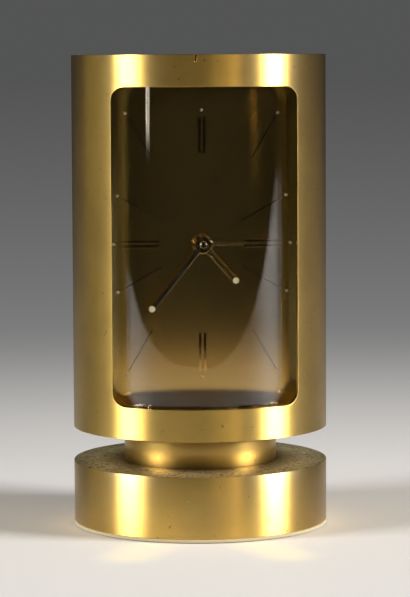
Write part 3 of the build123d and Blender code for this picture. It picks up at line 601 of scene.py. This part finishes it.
def place_of(node):
    """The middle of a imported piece, in X and Z."""
    low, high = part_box(node)
    return (low.x + high.x) / 2, (low.z + high.z) / 2


def make_cover():
    low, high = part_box("back_cover")
    holes = [circle(place_of(node), key_stem_radius + cover_clearance) for node in ("going_key", "alarm_key")]
    holes.append(circle((0, middle_height), centre_arbor_radius + cover_clearance))
    holes.append(circle(place_of("alarm_set_knob"), alarm_arbor_radius + cover_clearance))
    holes.append(circle(place_of("alarm_stop_button"), button_hole_radius))
    mesh = flat_piece("rear_plate", [box_outline(low.x, high.x, low.z, high.z), *holes], low.y, high.y)
    return soften(placed("rear_plate", mesh, "case", "rear_brass", "back_cover"), cover_edge)


cover = make_cover()
print("rear plate:", len(cover.data.polygons), "faces before its edges are broken")

# %% Make the keys
key_edge = 0.35 * mm
key_neck_radius, key_neck_length = 2.0 * mm, 1.2 * mm
key_bore_radius, key_bore_depth = 1.5 * mm, 12.0 * mm
key_wing_height, key_wing_half_thickness, key_wing_corner = 9.0 * mm, 1.0 * mm, 3.2 * mm
stem_steps = 64


def standing_outline(name, points, low, high):
    """Give an outline in X and Y its thickness along Z."""
    work = bmesh.new()
    face = work.faces.new([work.verts.new((x, y, low)) for x, y in points])
    return thickened(name, work, [face], (0, 0, high - low))


def make_key(node, body):
    low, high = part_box(node)
    x, z = place_of(node)
    wing_front = high.y - key_wing_height
    neck_end, bore_end = wing_front + key_neck_length, low.y + key_bore_depth
    outline = [
        (key_bore_radius, low.y), (key_stem_radius, low.y), (key_stem_radius, wing_front),
        (key_neck_radius, neck_end), (0, neck_end), (0, bore_end), (key_bore_radius, bore_end),
    ]
    stem = turned("stem", outline, along="Y", centre=(x, 0, z), steps=stem_steps)
    middle = (x, wing_front + key_wing_height / 2)
    wing_points = rounded_rectangle(middle, high.x - low.x, key_wing_height, key_wing_corner)
    wing = standing_outline("wing", wing_points, z - key_wing_half_thickness, z + key_wing_half_thickness)
    return soften(joined(node + "_shape", [stem, wing], body, "rear_brass", node), key_edge)


keys = [make_key("going_key", "going_winding"), make_key("alarm_key", "alarm_winding")]
print("keys:", [piece.name for piece in keys])

# %% Make the knobs and the button
knob_edge, knob_flute_depth = 0.35 * mm, 0.35 * mm
button_stem_radius, button_head_height = 0.9 * mm, 4.0 * mm
button_edge, button_steps = 0.5 * mm, 72


def rear_turned(name, mesh_name, node, body, outline, **turning):
    """A turned rear piece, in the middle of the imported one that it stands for."""
    x, z = place_of(node)
    mesh = turned(mesh_name, outline, along="Y", centre=(x, 0, z), **turning)
    return placed(name, shaded(mesh, 35.0), body, "rear_brass", node)


def knob_outline(low, high, edge):
    radius, front, back = (high.x - low.x) / 2, low.y, high.y
    return [
        (0, front), (radius - 2 * edge, front), (radius, front + edge), (radius, back - 2 * edge),
        (radius - edge, back - 0.5 * edge), (radius - 2.5 * edge, back), (0, back - 0.3 * edge),
    ]


def button_outline(low, high, edge):
    radius, end, head = (high.x - low.x) / 2, high.y, high.y - button_head_height
    return [
        (0, low.y), (button_stem_radius, low.y), (button_stem_radius, head), (radius - 0.3 * edge, head),
        (radius, head + 0.3 * edge), (radius, end - edge), (radius - 0.4 * edge, end - 0.3 * edge),
        (radius - 1.2 * edge, end), (0, end),
    ]


knobs = [
    rear_turned(node + "_shape", node, node, body, knob_outline(*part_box(node), knob_edge),
                flutes=flutes, flute_depth=knob_flute_depth)
    for node, body, flutes in (("hand_set_knob", "minute_work", 24), ("alarm_set_knob", "alarm_setting", 20))
]
button_shape = button_outline(*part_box("alarm_stop_button"), button_edge)
button = rear_turned("stop_button_shape", "button", "alarm_stop_button", "stop_button", button_shape,
                     steps=button_steps)
print("knobs and button:", [piece.name for piece in [*knobs, button]])

# %% [markdown]
# ## Brass that was brushed
# Brushing leaves thousands of fine grooves that all run one way. A picture of scratches would blur up close,
# so the grooves are made from noise that is stretched along them: it tints the metal a little, changes its
# roughness and gives a slight relief. The grooves also smear every reflection across themselves. The shader's
# anisotropy does that: on the tube the grooves run round, so the highlights are pulled up and down into
# upright bands.

# %% Add nodes and link them


def set_inputs(node, values):
    """Give each input a plain value, or link it to the output that carries it. id_data is the node's tree."""
    for name, value in values.items():
        socket = node.inputs[name]
        if isinstance(value, bpy.types.NodeSocket):
            node.id_data.links.new(value, socket)
        elif socket.type == "RGBA":
            socket.default_value = (*value, 1.0)
        else:
            socket.default_value = value


def new_node(tree, kind, values=(), **settings):
    """Add a node, with its settings first, because they decide which inputs it has."""
    node = tree.nodes.new("ShaderNode" + kind)
    for name, value in settings.items():
        setattr(node, name, value)
    set_inputs(node, dict(values))
    return node


def new_material(name):
    """A material with its node tree and its main shader."""
    material = bpy.data.materials.new(name)
    material.use_nodes = True
    return material, material.node_tree, main_shader(material)


def main_shader(material):
    return material.node_tree.nodes["Principled BSDF"]


print("nodes can be added and linked")

# %% Calculate between nodes


def own_place(tree):
    return new_node(tree, "TexCoord").outputs["Object"]


def parts_of(place):
    return new_node(place.id_data, "SeparateXYZ", {"Vector": place}).outputs


def noise(tree, scale, detail, roughness, stretch=(1.0, 1.0, 1.0)):
    """Noise over the piece's own coordinates. The stretch is finer where it is larger."""
    mapped = new_node(tree, "Mapping", {"Vector": own_place(tree), "Scale": stretch}).outputs["Vector"]
    values = {"Vector": mapped, "Scale": scale, "Detail": detail, "Roughness": roughness}
    return new_node(tree, "TexNoise", values).outputs["Fac"]


def between(factor, low, high, from_low=0.3, from_high=0.7, way="LINEAR"):
    """Spread a value over a range. Noise mostly lies between 0.3 and 0.7."""
    values = {"Value": factor, "From Min": from_low, "From Max": from_high, "To Min": low, "To Max": high}
    return new_node(factor.id_data, "MapRange", values, interpolation_type=way).outputs["Result"]


def calculated(operation, *values):
    """One step of arithmetic between outputs and plain numbers."""
    tree = next(value.id_data for value in values if isinstance(value, bpy.types.NodeSocket))
    return new_node(tree, "Math", enumerate(values), operation=operation).outputs["Value"]


def product(first, second):
    return calculated("MULTIPLY", first, second)


def blended(factor, first, second, way="MIX"):
    """Mix two colours, or the outputs that carry them."""
    values = {"Factor": factor, "A": first, "B": second}
    return new_node(factor.id_data, "Mix", values, data_type="RGBA", blend_type=way).outputs["Result"]


print("values and colours can be mixed")

# %% Brush the metal
cloud_scale = 45.0
groove_tint, groove_spread = 0.25, 0.12
fine_relief = 0.02 * mm


def relief(shader, height, strength, distance):
    values = {"Height": height, "Strength": strength, "Distance": distance}
    bump = new_node(shader.id_data, "Bump", values)
    set_inputs(shader, {"Normal": bump.outputs["Normal"]})


def tangent_round_z(shader):
    """Tell the shader that the grain runs round the upright axis."""
    tangent = new_node(shader.id_data, "Tangent", direction_type="RADIAL", axis="Z")
    set_inputs(shader, {"Tangent": tangent.outputs["Tangent"]})


def brushed_metal(name, light, dark, roughness, grain, anisotropy=0.0, turn=0.0, blotch=0.35, groove=0.12):
    """Metal with fine grooves. The grain says how fine the grooves are along X, Y and Z."""
    material, tree, shader = new_material(name)
    grooves = noise(tree, scale=1.0, detail=6.0, roughness=0.7, stretch=grain)
    clouds = noise(tree, cloud_scale, detail=4.0, roughness=0.6)
    tint = blended(between(clouds, 0.0, blotch), light, dark)
    smooth, rough = roughness * (1 - groove_spread), roughness * (1 + groove_spread)
    set_inputs(shader, {
        "Base Color": blended(between(grooves, 0.0, groove_tint), tint, dark),
        "Roughness": between(grooves, smooth, rough),
        "Metallic": 1.0,
        "Anisotropic": anisotropy,
        "Anisotropic Rotation": turn,
    })
    relief(shader, grooves, groove, fine_relief)
    if anisotropy:
        tangent_round_z(shader)
    return material


print("grooves change the roughness by", groove_spread, "both ways")

# %% [markdown]
# ## The finishes of this clock
# Old lacquered brass is a little green in the shade and nearly white in the light. The tube and the foot are
# brushed round, and carry dark specks where the lacquer has aged and pale specks of small nicks, painted
# brighter as their glints. One even gold would look like paint, so each finish mixes two tones, and the
# specks are laid over it with finer noise. The foot's top is blasted matt, with small dust specks, and a dark
# ring round the neck is painted shade, where the tube above shades it. The neck has a soft satin shine. The
# dial is gilt and brushed up and down, so it mirrors the floor softly, sideways only. Bars and hands are
# polished, except the thin alarm hand, which is satin. The cap on the hands is darker, and the milled walls
# of the openings are bright.

# %% Write how metal ages
round_grain = (60.0, 60.0, 9000.0)
upright_grain = (9000.0, 9000.0, 60.0)
even_grain = (2500.0, 2500.0, 2500.0)
quarter_turn = 0.25
brushed_round = {
    "roughness": 0.4, "grain": round_grain, "anisotropy": 0.98, "turn": quarter_turn, "blotch": 0.95,
}
speck_scale = 420.0
speck_softness = 0.06
# The pale specks are small nicks, painted brighter as their glints. The dark specks are aged lacquer.
nick_glint_speck, worn_speck = (0.8, 0.68, 0.38), (0.3, 0.2, 0.05)
dust_speck, dark_speck, neck_speck = (0.24, 0.2, 0.11), (0.04, 0.03, 0.015), (0.12, 0.07, 0.03)
# The dark ring on the foot's top round the neck is painted shade, under the tube.
shade_ring_width, shade_ring_colour = 8.0 * mm, (0.05, 0.028, 0.006)
lacquer = {"Coat Weight": 0.5, "Coat Roughness": 0.35}


def overlaid(material, share, colour):
    """Lay one more colour over a finished material, by a share."""
    shader = main_shader(material)
    below = shader.inputs["Base Color"].links[0].from_socket
    set_inputs(shader, {"Base Color": blended(share, below, colour)})


def speckled(material, colour, amount, scale=speck_scale):
    """Add small specks to a finished material."""
    grains = noise(material.node_tree, scale, detail=3.0, roughness=0.7)
    start = 1.0 - amount
    overlaid(material, between(grains, 0.0, 1.0, start, start + speck_softness), colour)


def shade_painted(material, inner, outer, colour):
    """Paint shade in a ring round the axis, where the tube above shades the foot's top."""
    tree = material.node_tree
    values = {0: own_place(tree), 1: (1, 1, 0)}
    flat = new_node(tree, "VectorMath", values, operation="MULTIPLY").outputs["Vector"]
    reach = new_node(tree, "VectorMath", {0: flat}, operation="LENGTH").outputs["Value"]
    overlaid(material, between(reach, 1.0, 0.0, inner, outer), colour)


print("the foot's top is grimed", round(shade_ring_width / mm, 1), "mm wide")

# %% Mix the metals


def fine_metal(name, light, dark, roughness, groove=0.02):
    """Metal of a small piece, polished or satin, without a direction."""
    return brushed_metal(name, light, dark, roughness, even_grain, groove=groove)


case_metal = brushed_metal("brass_tube", (0.77, 0.525, 0.12), (0.56, 0.37, 0.078), **brushed_round)
base_metal = brushed_metal("brass_foot", (0.78, 0.53, 0.135), (0.58, 0.38, 0.09), **brushed_round)
for metal in (case_metal, base_metal):
    # Pale specks of small nicks, painted bright as their glints, then dark specks of aged lacquer.
    speckled(metal, nick_glint_speck, amount=0.29, scale=300.0)
    speckled(metal, worn_speck, amount=0.33, scale=520.0)
    set_inputs(main_shader(metal), lacquer)
top_metal = brushed_metal(
    "brass_matt_top", (0.82, 0.73, 0.46), (0.52, 0.46, 0.26), roughness=0.47, grain=even_grain,
    blotch=1.0, groove=0.7,
)
speckled(top_metal, dust_speck, amount=0.46, scale=900.0)
speckled(top_metal, dark_speck, amount=0.4)
# Painted shade in a ring round the neck, where the tube above shades the foot's top.
shade_painted(top_metal, neck_radius, neck_radius + shade_ring_width, shade_ring_colour)
neck_metal = brushed_metal(
    "brass_neck", (0.44, 0.29, 0.085), (0.35, 0.228, 0.062), roughness=0.31, grain=round_grain, groove=0.05
)
speckled(neck_metal, neck_speck, amount=0.34)
dial_metal = brushed_metal(
    "gilt_dial", (0.69, 0.525, 0.2), (0.6, 0.44, 0.16), roughness=0.145, grain=upright_grain,
    anisotropy=0.5, groove=0.02,
)
rear_metal = brushed_metal(
    "satin_rear", (0.8, 0.56, 0.2), (0.52, 0.35, 0.11), roughness=0.26, grain=upright_grain,
    blotch=0.8, groove=0.35,
)
thin_metal = fine_metal("satin_hand", (0.86, 0.68, 0.36), (0.8, 0.6, 0.3), roughness=0.15)
cap_metal = fine_metal("satin_cap", (0.4, 0.33, 0.2), (0.34, 0.28, 0.16), roughness=0.1)
edge_metal = fine_metal("brass_window_edge", (0.76, 0.5, 0.11), (0.66, 0.42, 0.08), roughness=0.1)
finishes = {
    "case_brass": case_metal,
    "base_brass": base_metal,
    "neck_brass": neck_metal,
    "dial_gilt": dial_metal,
    "rear_brass": rear_metal,
    "index_brass": fine_metal("polished_index", (0.8, 0.6, 0.28), (0.74, 0.54, 0.24), 0.06, groove=0.01),
    "hand_gilt": fine_metal("polished_hand", (0.82, 0.64, 0.33), (0.76, 0.57, 0.28), 0.08, groove=0.01),
    "movement_brass": fine_metal("works_brass", (0.82, 0.62, 0.28), (0.7, 0.5, 0.2), 0.28, groove=0.05),
    "steel": fine_metal("ground_steel", (0.56, 0.56, 0.58), (0.42, 0.42, 0.44), 0.3, groove=0.05),
}
print("metals:", len(bpy.data.materials))

# %% [markdown]
# ## Glass, paint, seal and felt
# Clear glass is only a smooth surface with the right index, plus a trace of dust that roughens it. The
# luminous paint of the hands is chalky, with grains, while the small dots on the dial have a pearly shine.
# The pad is felt: a soft, fuzzy surface with a pale sheen. The bore and the edges of the glass are coated
# with old brown cement. In the lower corners of the window the brown finish turns amber: that is painted
# light, which stands in for the brass corners there that the lamps light through the glass.

# %% Mix the other finishes
glass_tint, glass_index = (0.985, 0.99, 0.98), 1.5
glass_dust, dust_span = 0.015, (0.45, 0.8)
# The colour and reach of the painted light in the lower corners of the window.
corner_light_colour = (0.95, 0.55, 0.08)
corner_light_low, corner_light_high = tube_low.z + window_rim - mm, tube_low.z + window_rim + window_corner
corner_light_sides = 0.018, 0.025
paint_grain, paint_relief = 5000.0, 0.2
felt_light, felt_dark = (0.4, 0.33, 0.19), (0.31, 0.25, 0.13)
felt_roughness, felt_sheen, felt_relief = 0.95, 0.3, 0.6


def clear_glass():
    material, tree, shader = new_material("clear_glass")
    dust = noise(tree, scale=300.0, detail=5.0, roughness=0.7)
    set_inputs(shader, {
        "Base Color": glass_tint,
        "Transmission Weight": 1.0,
        "IOR": glass_index,
        "Roughness": between(dust, 0.0, glass_dust, *dust_span),
    })
    return material


def chalky_paint(name, light, dark, roughness=0.5, **others):
    """Paint with grains. The others are more inputs of the shader."""
    material, tree, shader = new_material(name)
    grains = noise(tree, paint_grain, detail=3.0, roughness=0.6)
    colour = blended(between(grains, 0.0, 1.0), light, dark)
    set_inputs(shader, {"Base Color": colour, "Roughness": roughness, **others})
    relief(shader, grains, paint_relief, fine_relief)
    return material


def painted_corner_light(material, low, high, sides, colour):
    """Paint light on a finish: turn it to another colour towards a low level, away from the middle."""
    parts = parts_of(own_place(material.node_tree))
    lower = between(parts["Z"], 1.0, 0.0, low, high)
    aside = between(calculated("ABSOLUTE", parts["X"]), 0.0, 1.0, *sides)
    overlaid(material, product(lower, aside), colour)


def felt():
    material, tree, shader = new_material("pale_felt")
    fibres = noise(tree, scale=2600.0, detail=5.0, roughness=0.75)
    colour = blended(between(fibres, 0.0, 1.0), felt_light, felt_dark)
    set_inputs(shader, {"Base Color": colour, "Roughness": felt_roughness, "Sheen Weight": felt_sheen})
    relief(shader, fibres, felt_relief, 0.1 * mm)
    return material


dull = {"Specular IOR Level": 0.1}
dot_finish = chalky_paint("pearly_dot", (0.86, 0.79, 0.6), (0.78, 0.71, 0.52), 0.25, Metallic=0.72)
seal_finish = chalky_paint("brown_seal", (0.085, 0.05, 0.01), (0.065, 0.038, 0.008))
# The amber in the lower corners of the window is painted light on the brown finish.
painted_corner_light(seal_finish, corner_light_low, corner_light_high, corner_light_sides, corner_light_colour)
finishes |= {
    "pad_felt": felt(),
    "clear_glass": clear_glass(),
    "cream_paint": chalky_paint("cream_paint", (0.8, 0.73, 0.52), (0.68, 0.6, 0.4)),
    "dark_paint": chalky_paint("black_paint", (0.006, 0.006, 0.006), (0.01, 0.01, 0.009), **dull),
}
print("finishes:", len(bpy.data.materials), "for", len(finishes), "slots")

# %% [markdown]
# ## Give every piece its finish
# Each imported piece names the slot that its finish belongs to, and each dressed piece was given one when it
# was placed. Some pieces have more than one finish: the foot is matt on top, and the tube is bright on its
# milled walls and sealed in its bore. Cutting them apart would leave seams, so single faces get the second
# finish instead.

# %% Paint the pieces
wall_limit = 0.95
end_margin = 0.1 * mm
upward = 0.9


def paint_all():
    """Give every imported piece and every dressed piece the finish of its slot."""
    slots = {entry["node"]: entry["material_slot"] for entry in frame["record"]["subparts"]}
    packed = [(piece, slots[node]) for node, piece in frame["nodes"].items()]
    for piece, slot_name in packed + dressed:
        piece.data.materials.clear()
        piece.data.materials.append(finishes[slot_name])


def facing_out(face):
    """How far a face looks away from the axis: 1 outside, 0 on a wall, -1 in the bore."""
    return face.normal.dot(Vector((face.center.x, face.center.y, 0)).normalized())


def milled(face):
    """True where a face is a wall of an opening or an edge, and not one of the round surfaces."""
    if min(abs(face.center.z - tube_low.z), abs(face.center.z - tube_high.z)) < end_margin:
        return False
    return abs(facing_out(face)) < wall_limit


def inside(face):
    """True for the bore of the tube."""
    return facing_out(face) < -wall_limit


def paint_faces(piece, material, chosen):
    """Give one more finish to the faces that the test chooses."""
    piece.data.materials.append(material)
    faces = [face for face in piece.data.polygons if chosen(face)]
    for face in faces:
        face.material_index = len(piece.data.materials) - 1
    return len(faces)


paint_all()
print("matt faces:", paint_faces(base, top_metal, lambda face: face.normal.z > upward))
print("milled faces:", paint_faces(tube, edge_metal, milled))
print("faces of the bore:", paint_faces(tube, seal_finish, inside))
print("sealed glass edges:", paint_faces(glass, seal_finish, milled))
for piece, finish in ((dots, dot_finish), (extras[0], cap_metal), (hands[2], thin_metal)):
    piece.data.materials[0] = finish
print("finishes given to", len(frame["nodes"]), "packed and", len(dressed), "dressed pieces")

# %% [markdown]
# ## The camera
# The picture was taken from about three quarters of a metre, at the level of the top rim and a touch to the
# left of the face. A long lens keeps the tube's sides nearly parallel. The camera could simply be tilted down
# to the clock, but then the sides would converge. So it looks down by only four degrees, and the lens is
# shifted down by a tenth.

# %% Place the camera
camera_place = Vector((-43.9, -718.7, 130.6)) * mm
camera_down = radians(3.90)
camera_roll = radians(-0.29)
camera_lens, camera_sensor = 152.96, 36.0
camera_shift = (0.00975, -0.10514)
camera_near, camera_far = 0.05, 20.0


def make_camera():
    data = bpy.data.cameras.new("camera")
    data.sensor_width = camera_sensor
    data.lens = camera_lens
    data.shift_x, data.shift_y = camera_shift
    data.clip_start, data.clip_end = camera_near, camera_far
    camera = in_scene("camera", data)
    forward = Vector((-camera_place.x, -camera_place.y, 0)).normalized()
    forward = forward * cos(camera_down) - Vector((0, 0, sin(camera_down)))
    turn = forward.to_track_quat("-Z", "Y").to_matrix().to_4x4()
    camera.matrix_world = Matrix.Translation(camera_place) @ turn @ Matrix.Rotation(camera_roll, 4, "Z")
    bpy.context.scene.camera = camera
    return camera


camera = make_camera()
print("camera at", [round(v, 3) for v in camera.location])

# %% [markdown]
# ## The floor and the backdrop
# The clock stands on a pale floor. Behind it the light fades with distance into an even grey, without a
# horizon. That fade is painted, into the floor's colour and into the grey glow that the camera sees. A curved
# paper backdrop would need its own lamps, so the far part of the floor is simply shown in that grey to the
# camera. Polished metal and glass show what is in front of them as well: there the table ends, and beyond it
# the room is dark. The line where it ends is what draws the dark bowl in the glass. In what the metal
# mirrors, the floor grows warmer, and darker as painted light that falls off, towards the front and all
# round. The two bright bands of the foot throw soft golden light on the floor before it. Traced light would
# need very many rays for that, so a few soft round patches of painted light are laid there in the floor's own
# colour.

# %% Colour the floor
# The floor's colour darkens with distance from the clock: painted falloff of light.
near_floor, far_floor, far_reach = (0.6, 0.592, 0.588), (0.08, 0.08, 0.08), 1.5
floor_between = {0.2: (0.565, 0.558, 0.556), 0.5: (0.235, 0.236, 0.24)}
floor_grain, floor_grain_colour = 0.06, (0.5, 0.48, 0.46)
# In what the metal mirrors, the floor is tinted warmer and darker: painted falloff of light.
warm_start, warm_end, warm_falloff_tint = 0.14, 0.36, (0.62, 0.46, 0.285)
far_start, far_end, far_falloff_tint = 0.2, 0.55, (0.9, 0.79, 0.62)
glow_directions = radians(-113.0), radians(-70.0)
glow_radius, glow_step, glow_count = 0.012, 0.008, 3
glow_colour = (0.72, 0.68, 0.56)


def world_place(tree):
    return new_node(tree, "NewGeometry").outputs["Position"]


def distance_from(tree, place):
    """How far the point that is shaded lies from a place."""
    values = {0: world_place(tree), 1: place}
    return new_node(tree, "VectorMath", values, operation="DISTANCE").outputs["Value"]


def light_pools(tree, colour):
    """Lay soft round patches of reflected light over a colour, in two short rows before the foot."""
    for turn in glow_directions:
        for step in range(glow_count):
            reach = case_radius + glow_radius / 2 + step * glow_step
            away = distance_from(tree, (reach * cos(turn), reach * sin(turn), 0))
            share = between(away, 1.0, 0.0, 0.0, glow_radius, "SMOOTHSTEP")
            colour = blended(share, colour, glow_colour)
    return colour


def floor_colour(tree, away, ahead, unseen):
    """Pale near the clock and darker with distance, and warmer and darker where it is only mirrored: painted
    falloff of light.
    """
    ramp = new_node(tree, "ValToRGB", {"Fac": calculated("DIVIDE", away, far_reach)})
    stops = ramp.color_ramp.elements
    stops[0].color, stops[1].color = (*near_floor, 1), (*far_floor, 1)
    for place, colour in floor_between.items():
        stops.new(place).color = (*colour, 1)
    front = product(between(ahead, 0.0, 1.0, -warm_start, -warm_end), unseen)
    round_about = product(between(away, 0.0, 1.0, far_start, far_end), unseen)
    warm = blended(front, ramp.outputs["Color"], warm_falloff_tint, "MULTIPLY")
    warm = blended(round_about, warm, far_falloff_tint, "MULTIPLY")
    grain = between(noise(tree, scale=700.0, detail=5.0, roughness=0.6), 0.0, floor_grain)
    return light_pools(tree, blended(grain, warm, floor_grain_colour))


print("the floor's colour runs out", far_reach, "m away")

# %% Mix the floor's finish
floor_roughness, floor_shine = 0.7, 0.15
pool_centre = (0.0, -0.2, 0.0)
fade_start, fade_end = 0.3, 0.85
# The backdrop's grey glow rises towards the clock: a painted fade of light.
backdrop_level, backdrop_rise = 0.085, 0.085
table_front = -0.425
table_left_front, table_left_slope = -0.45, -0.285
dark_room = (0.004, 0.003, 0.002)


def mixed_shaders(factor, first, second):
    values = {"Fac": factor, 1: first, 2: second}
    return new_node(factor.id_data, "MixShader", values).outputs["Shader"]


def glow(tree, colour, strength=1.0):
    return new_node(tree, "Emission", {"Color": colour, "Strength": strength}).outputs["Emission"]


def beyond_table(parts):
    """1 where the table has ended, in front or at the slanted left side, and 0 on the table."""
    front = calculated("LESS_THAN", parts["Y"], table_front)
    slope = product(parts["X"], table_left_slope)
    slanted = calculated("ADD", slope, table_left_front)
    return calculated("MAXIMUM", front, calculated("LESS_THAN", parts["Y"], slanted))


def floor_material():
    material, tree, shader = new_material("pale_floor")
    parts, away = parts_of(world_place(tree)), distance_from(tree, pool_centre)
    path = new_node(tree, "LightPath").outputs
    colour = floor_colour(tree, away, parts["Y"], calculated("SUBTRACT", 1.0, path["Is Camera Ray"]))
    set_inputs(shader, {
        "Base Color": colour, "Roughness": floor_roughness, "Specular IOR Level": floor_shine,
    })
    fade = between(away, 0.0, 1.0, fade_start, fade_end, "SMOOTHSTEP")
    far = product(fade, path["Is Camera Ray"])
    level = calculated("ADD", calculated("DIVIDE", backdrop_rise, away), backdrop_level)
    shown = mixed_shaders(far, shader.outputs["BSDF"], glow(tree, (1.0, 1.0, 1.0), level))
    mirrored = calculated("MAXIMUM", path["Is Glossy Ray"], path["Is Transmission Ray"])
    dark = product(beyond_table(parts), mirrored)
    surface = mixed_shaders(dark, shown, glow(tree, dark_room))
    set_inputs(tree.nodes["Material Output"], {"Surface": surface})
    return material


print("the table ends", -table_front, "m before the clock")

# %% Lay the floor
floor_radius = 30.0
floor_steps = 96
floor_drop = 0.2 * mm


def make_floor():
    mesh = bpy.data.meshes.new("floor")
    ring = [(x, y, 0) for x, y in circle((0, 0), floor_radius, floor_steps)]
    mesh.from_pydata(ring, [], [list(range(floor_steps))])
    floor = in_scene("floor", mesh)
    floor.location.z = -floor_drop
    floor.data.materials.append(floor_material())
    return floor


floor = make_floor()
print("floor fades from", fade_start, "to", fade_end, "m away")

# %% [markdown]
# ## Lamps and the room
# Two soft boxes stand far to the left and right of the clock, a little above it. Their images in the brass
# are the two white bands, and their lower edges stay just above what the glass can mirror. The thin bright
# edge of the left one does reach lower, and shows as a fine upright glint in the glass. A very small card low
# at the left gives the tiny glints at the foot of the window. Two dim warm panels stand right of the camera,
# and an olive one far left, for the soft tones between the bands. Everything else is nearly dark: polished
# metal shows its surroundings, so the dark room is as much a part of the brass as the lamps are. Lamps near
# the clock would be simpler to aim, but their images in the brass would be too wide. The cards are upright,
# and the camera doesn't see them.

# %% Hang the lamps
camera_turn = radians(-3.5)
lamp_distance, lamp_height = 2.4, 0.84
lamp_size = (0.9, 0.84)
lamp_colour = (1.0, 0.985, 0.965)
lamp_aim = Vector((0, 0, 0.12))


def beside_camera(angle, distance, height):
    """A place at this angle, in degrees, to the right of the line from the clock to the camera."""
    turn = camera_turn + radians(angle)
    return Vector((distance * sin(turn), -distance * cos(turn), height))


def make_lamp(name, angle, power):
    data = bpy.data.lights.new(name, "AREA")
    data.shape = "RECTANGLE"
    data.size, data.size_y = lamp_size
    data.energy = power
    data.color = lamp_colour
    lamp = in_scene(name, data)
    lamp.location = beside_camera(angle, lamp_distance, lamp_height)
    lamp.rotation_mode = "QUATERNION"
    lamp.rotation_quaternion = (lamp_aim - lamp.location).to_track_quat("-Z", "Y")
    lamp.visible_camera = False
    return lamp


lamps = [
    make_lamp("lamp_left", angle=-68.0, power=98.0),
    make_lamp("lamp_right", angle=73.0, power=146.0),
]
print("lamps at", [[round(v, 2) for v in lamp.location] for lamp in lamps])

# %% Stand the glowing cards
warm_glow, pale_glow, olive_glow = (1.0, 0.8, 0.52), (1.0, 0.88, 0.68), (1.0, 0.92, 0.3)
swell_power, short_swell = 3.0, 0.01
card_distance = 1.0


def glowing(name, colour, level, low, full):
    """A glow that swells from nothing at the low end to its level at the full height."""
    material, tree, shader = new_material(name)
    parts = parts_of(world_place(tree))
    rise = between(parts["Z"], 0.0, 1.0, low, full)
    swell = product(calculated("POWER", rise, swell_power), level)
    set_inputs(tree.nodes["Material Output"], {"Surface": glow(tree, colour, swell)})
    tree.nodes.remove(shader)
    return material


def make_card(name, angle, width, low, high, colour, level, distance=card_distance, full=None):
    """An upright glowing card that the camera doesn't see."""
    turn = camera_turn + radians(angle)
    across = Vector((cos(turn), sin(turn), 0)) * width / 2
    foot = beside_camera(angle, distance, 0)
    corners = [foot - across, foot + across, foot + across, foot - across]
    mesh = bpy.data.meshes.new(name)
    mesh.from_pydata([(c.x, c.y, z) for c, z in zip(corners, (low, low, high, high))], [], [(0, 1, 2, 3)])
    card = in_scene(name, mesh)
    card.data.materials.append(glowing(name + "_glow", colour, level, low, full or low + short_swell))
    card.visible_camera = False
    card.visible_shadow = False
    return card


cards = [
    make_card("lamp_edge", -51.1, width=0.026, low=0.066, high=0.3, colour=pale_glow, level=16.0,
              distance=0.85, full=0.094),
    make_card("small_glint", -79.3, width=0.01, low=0.005, high=0.03, colour=pale_glow, level=9.0,
              distance=0.6),
    make_card("wide_panel", 24.0, width=0.42, low=0.16, high=0.9, colour=warm_glow, level=0.75),
    make_card("slim_panel", 33.0, width=0.16, low=0.16, high=0.9, colour=warm_glow, level=2.2),
    make_card("side_panel", -106.0, width=0.6, low=0.05, high=0.9, colour=olive_glow, level=0.26),
]
print("cards:", [card.name for card in cards])

# %% Darken the room
room_colour, backdrop_colour = (0.02, 0.018, 0.014), (0.087, 0.089, 0.088)


def make_room():
    """A dim room. The camera sees it as the far backdrop, and the metal as near darkness."""
    world = bpy.data.worlds.new("room")
    bpy.context.scene.world = world
    world.use_nodes = True
    tree = world.node_tree
    dim, shown = tree.nodes["Background"], new_node(tree, "Background", {"Color": backdrop_colour})
    set_inputs(dim, {"Color": room_colour})
    seen = new_node(tree, "LightPath").outputs["Is Camera Ray"]
    surface = mixed_shaders(seen, dim.outputs["Background"], shown.outputs["Background"])
    set_inputs(tree.nodes["World Output"], {"Surface": surface})
    return world


room = make_room()
bpy.context.scene.view_settings.view_transform = "Standard"
print("world:", room.name)
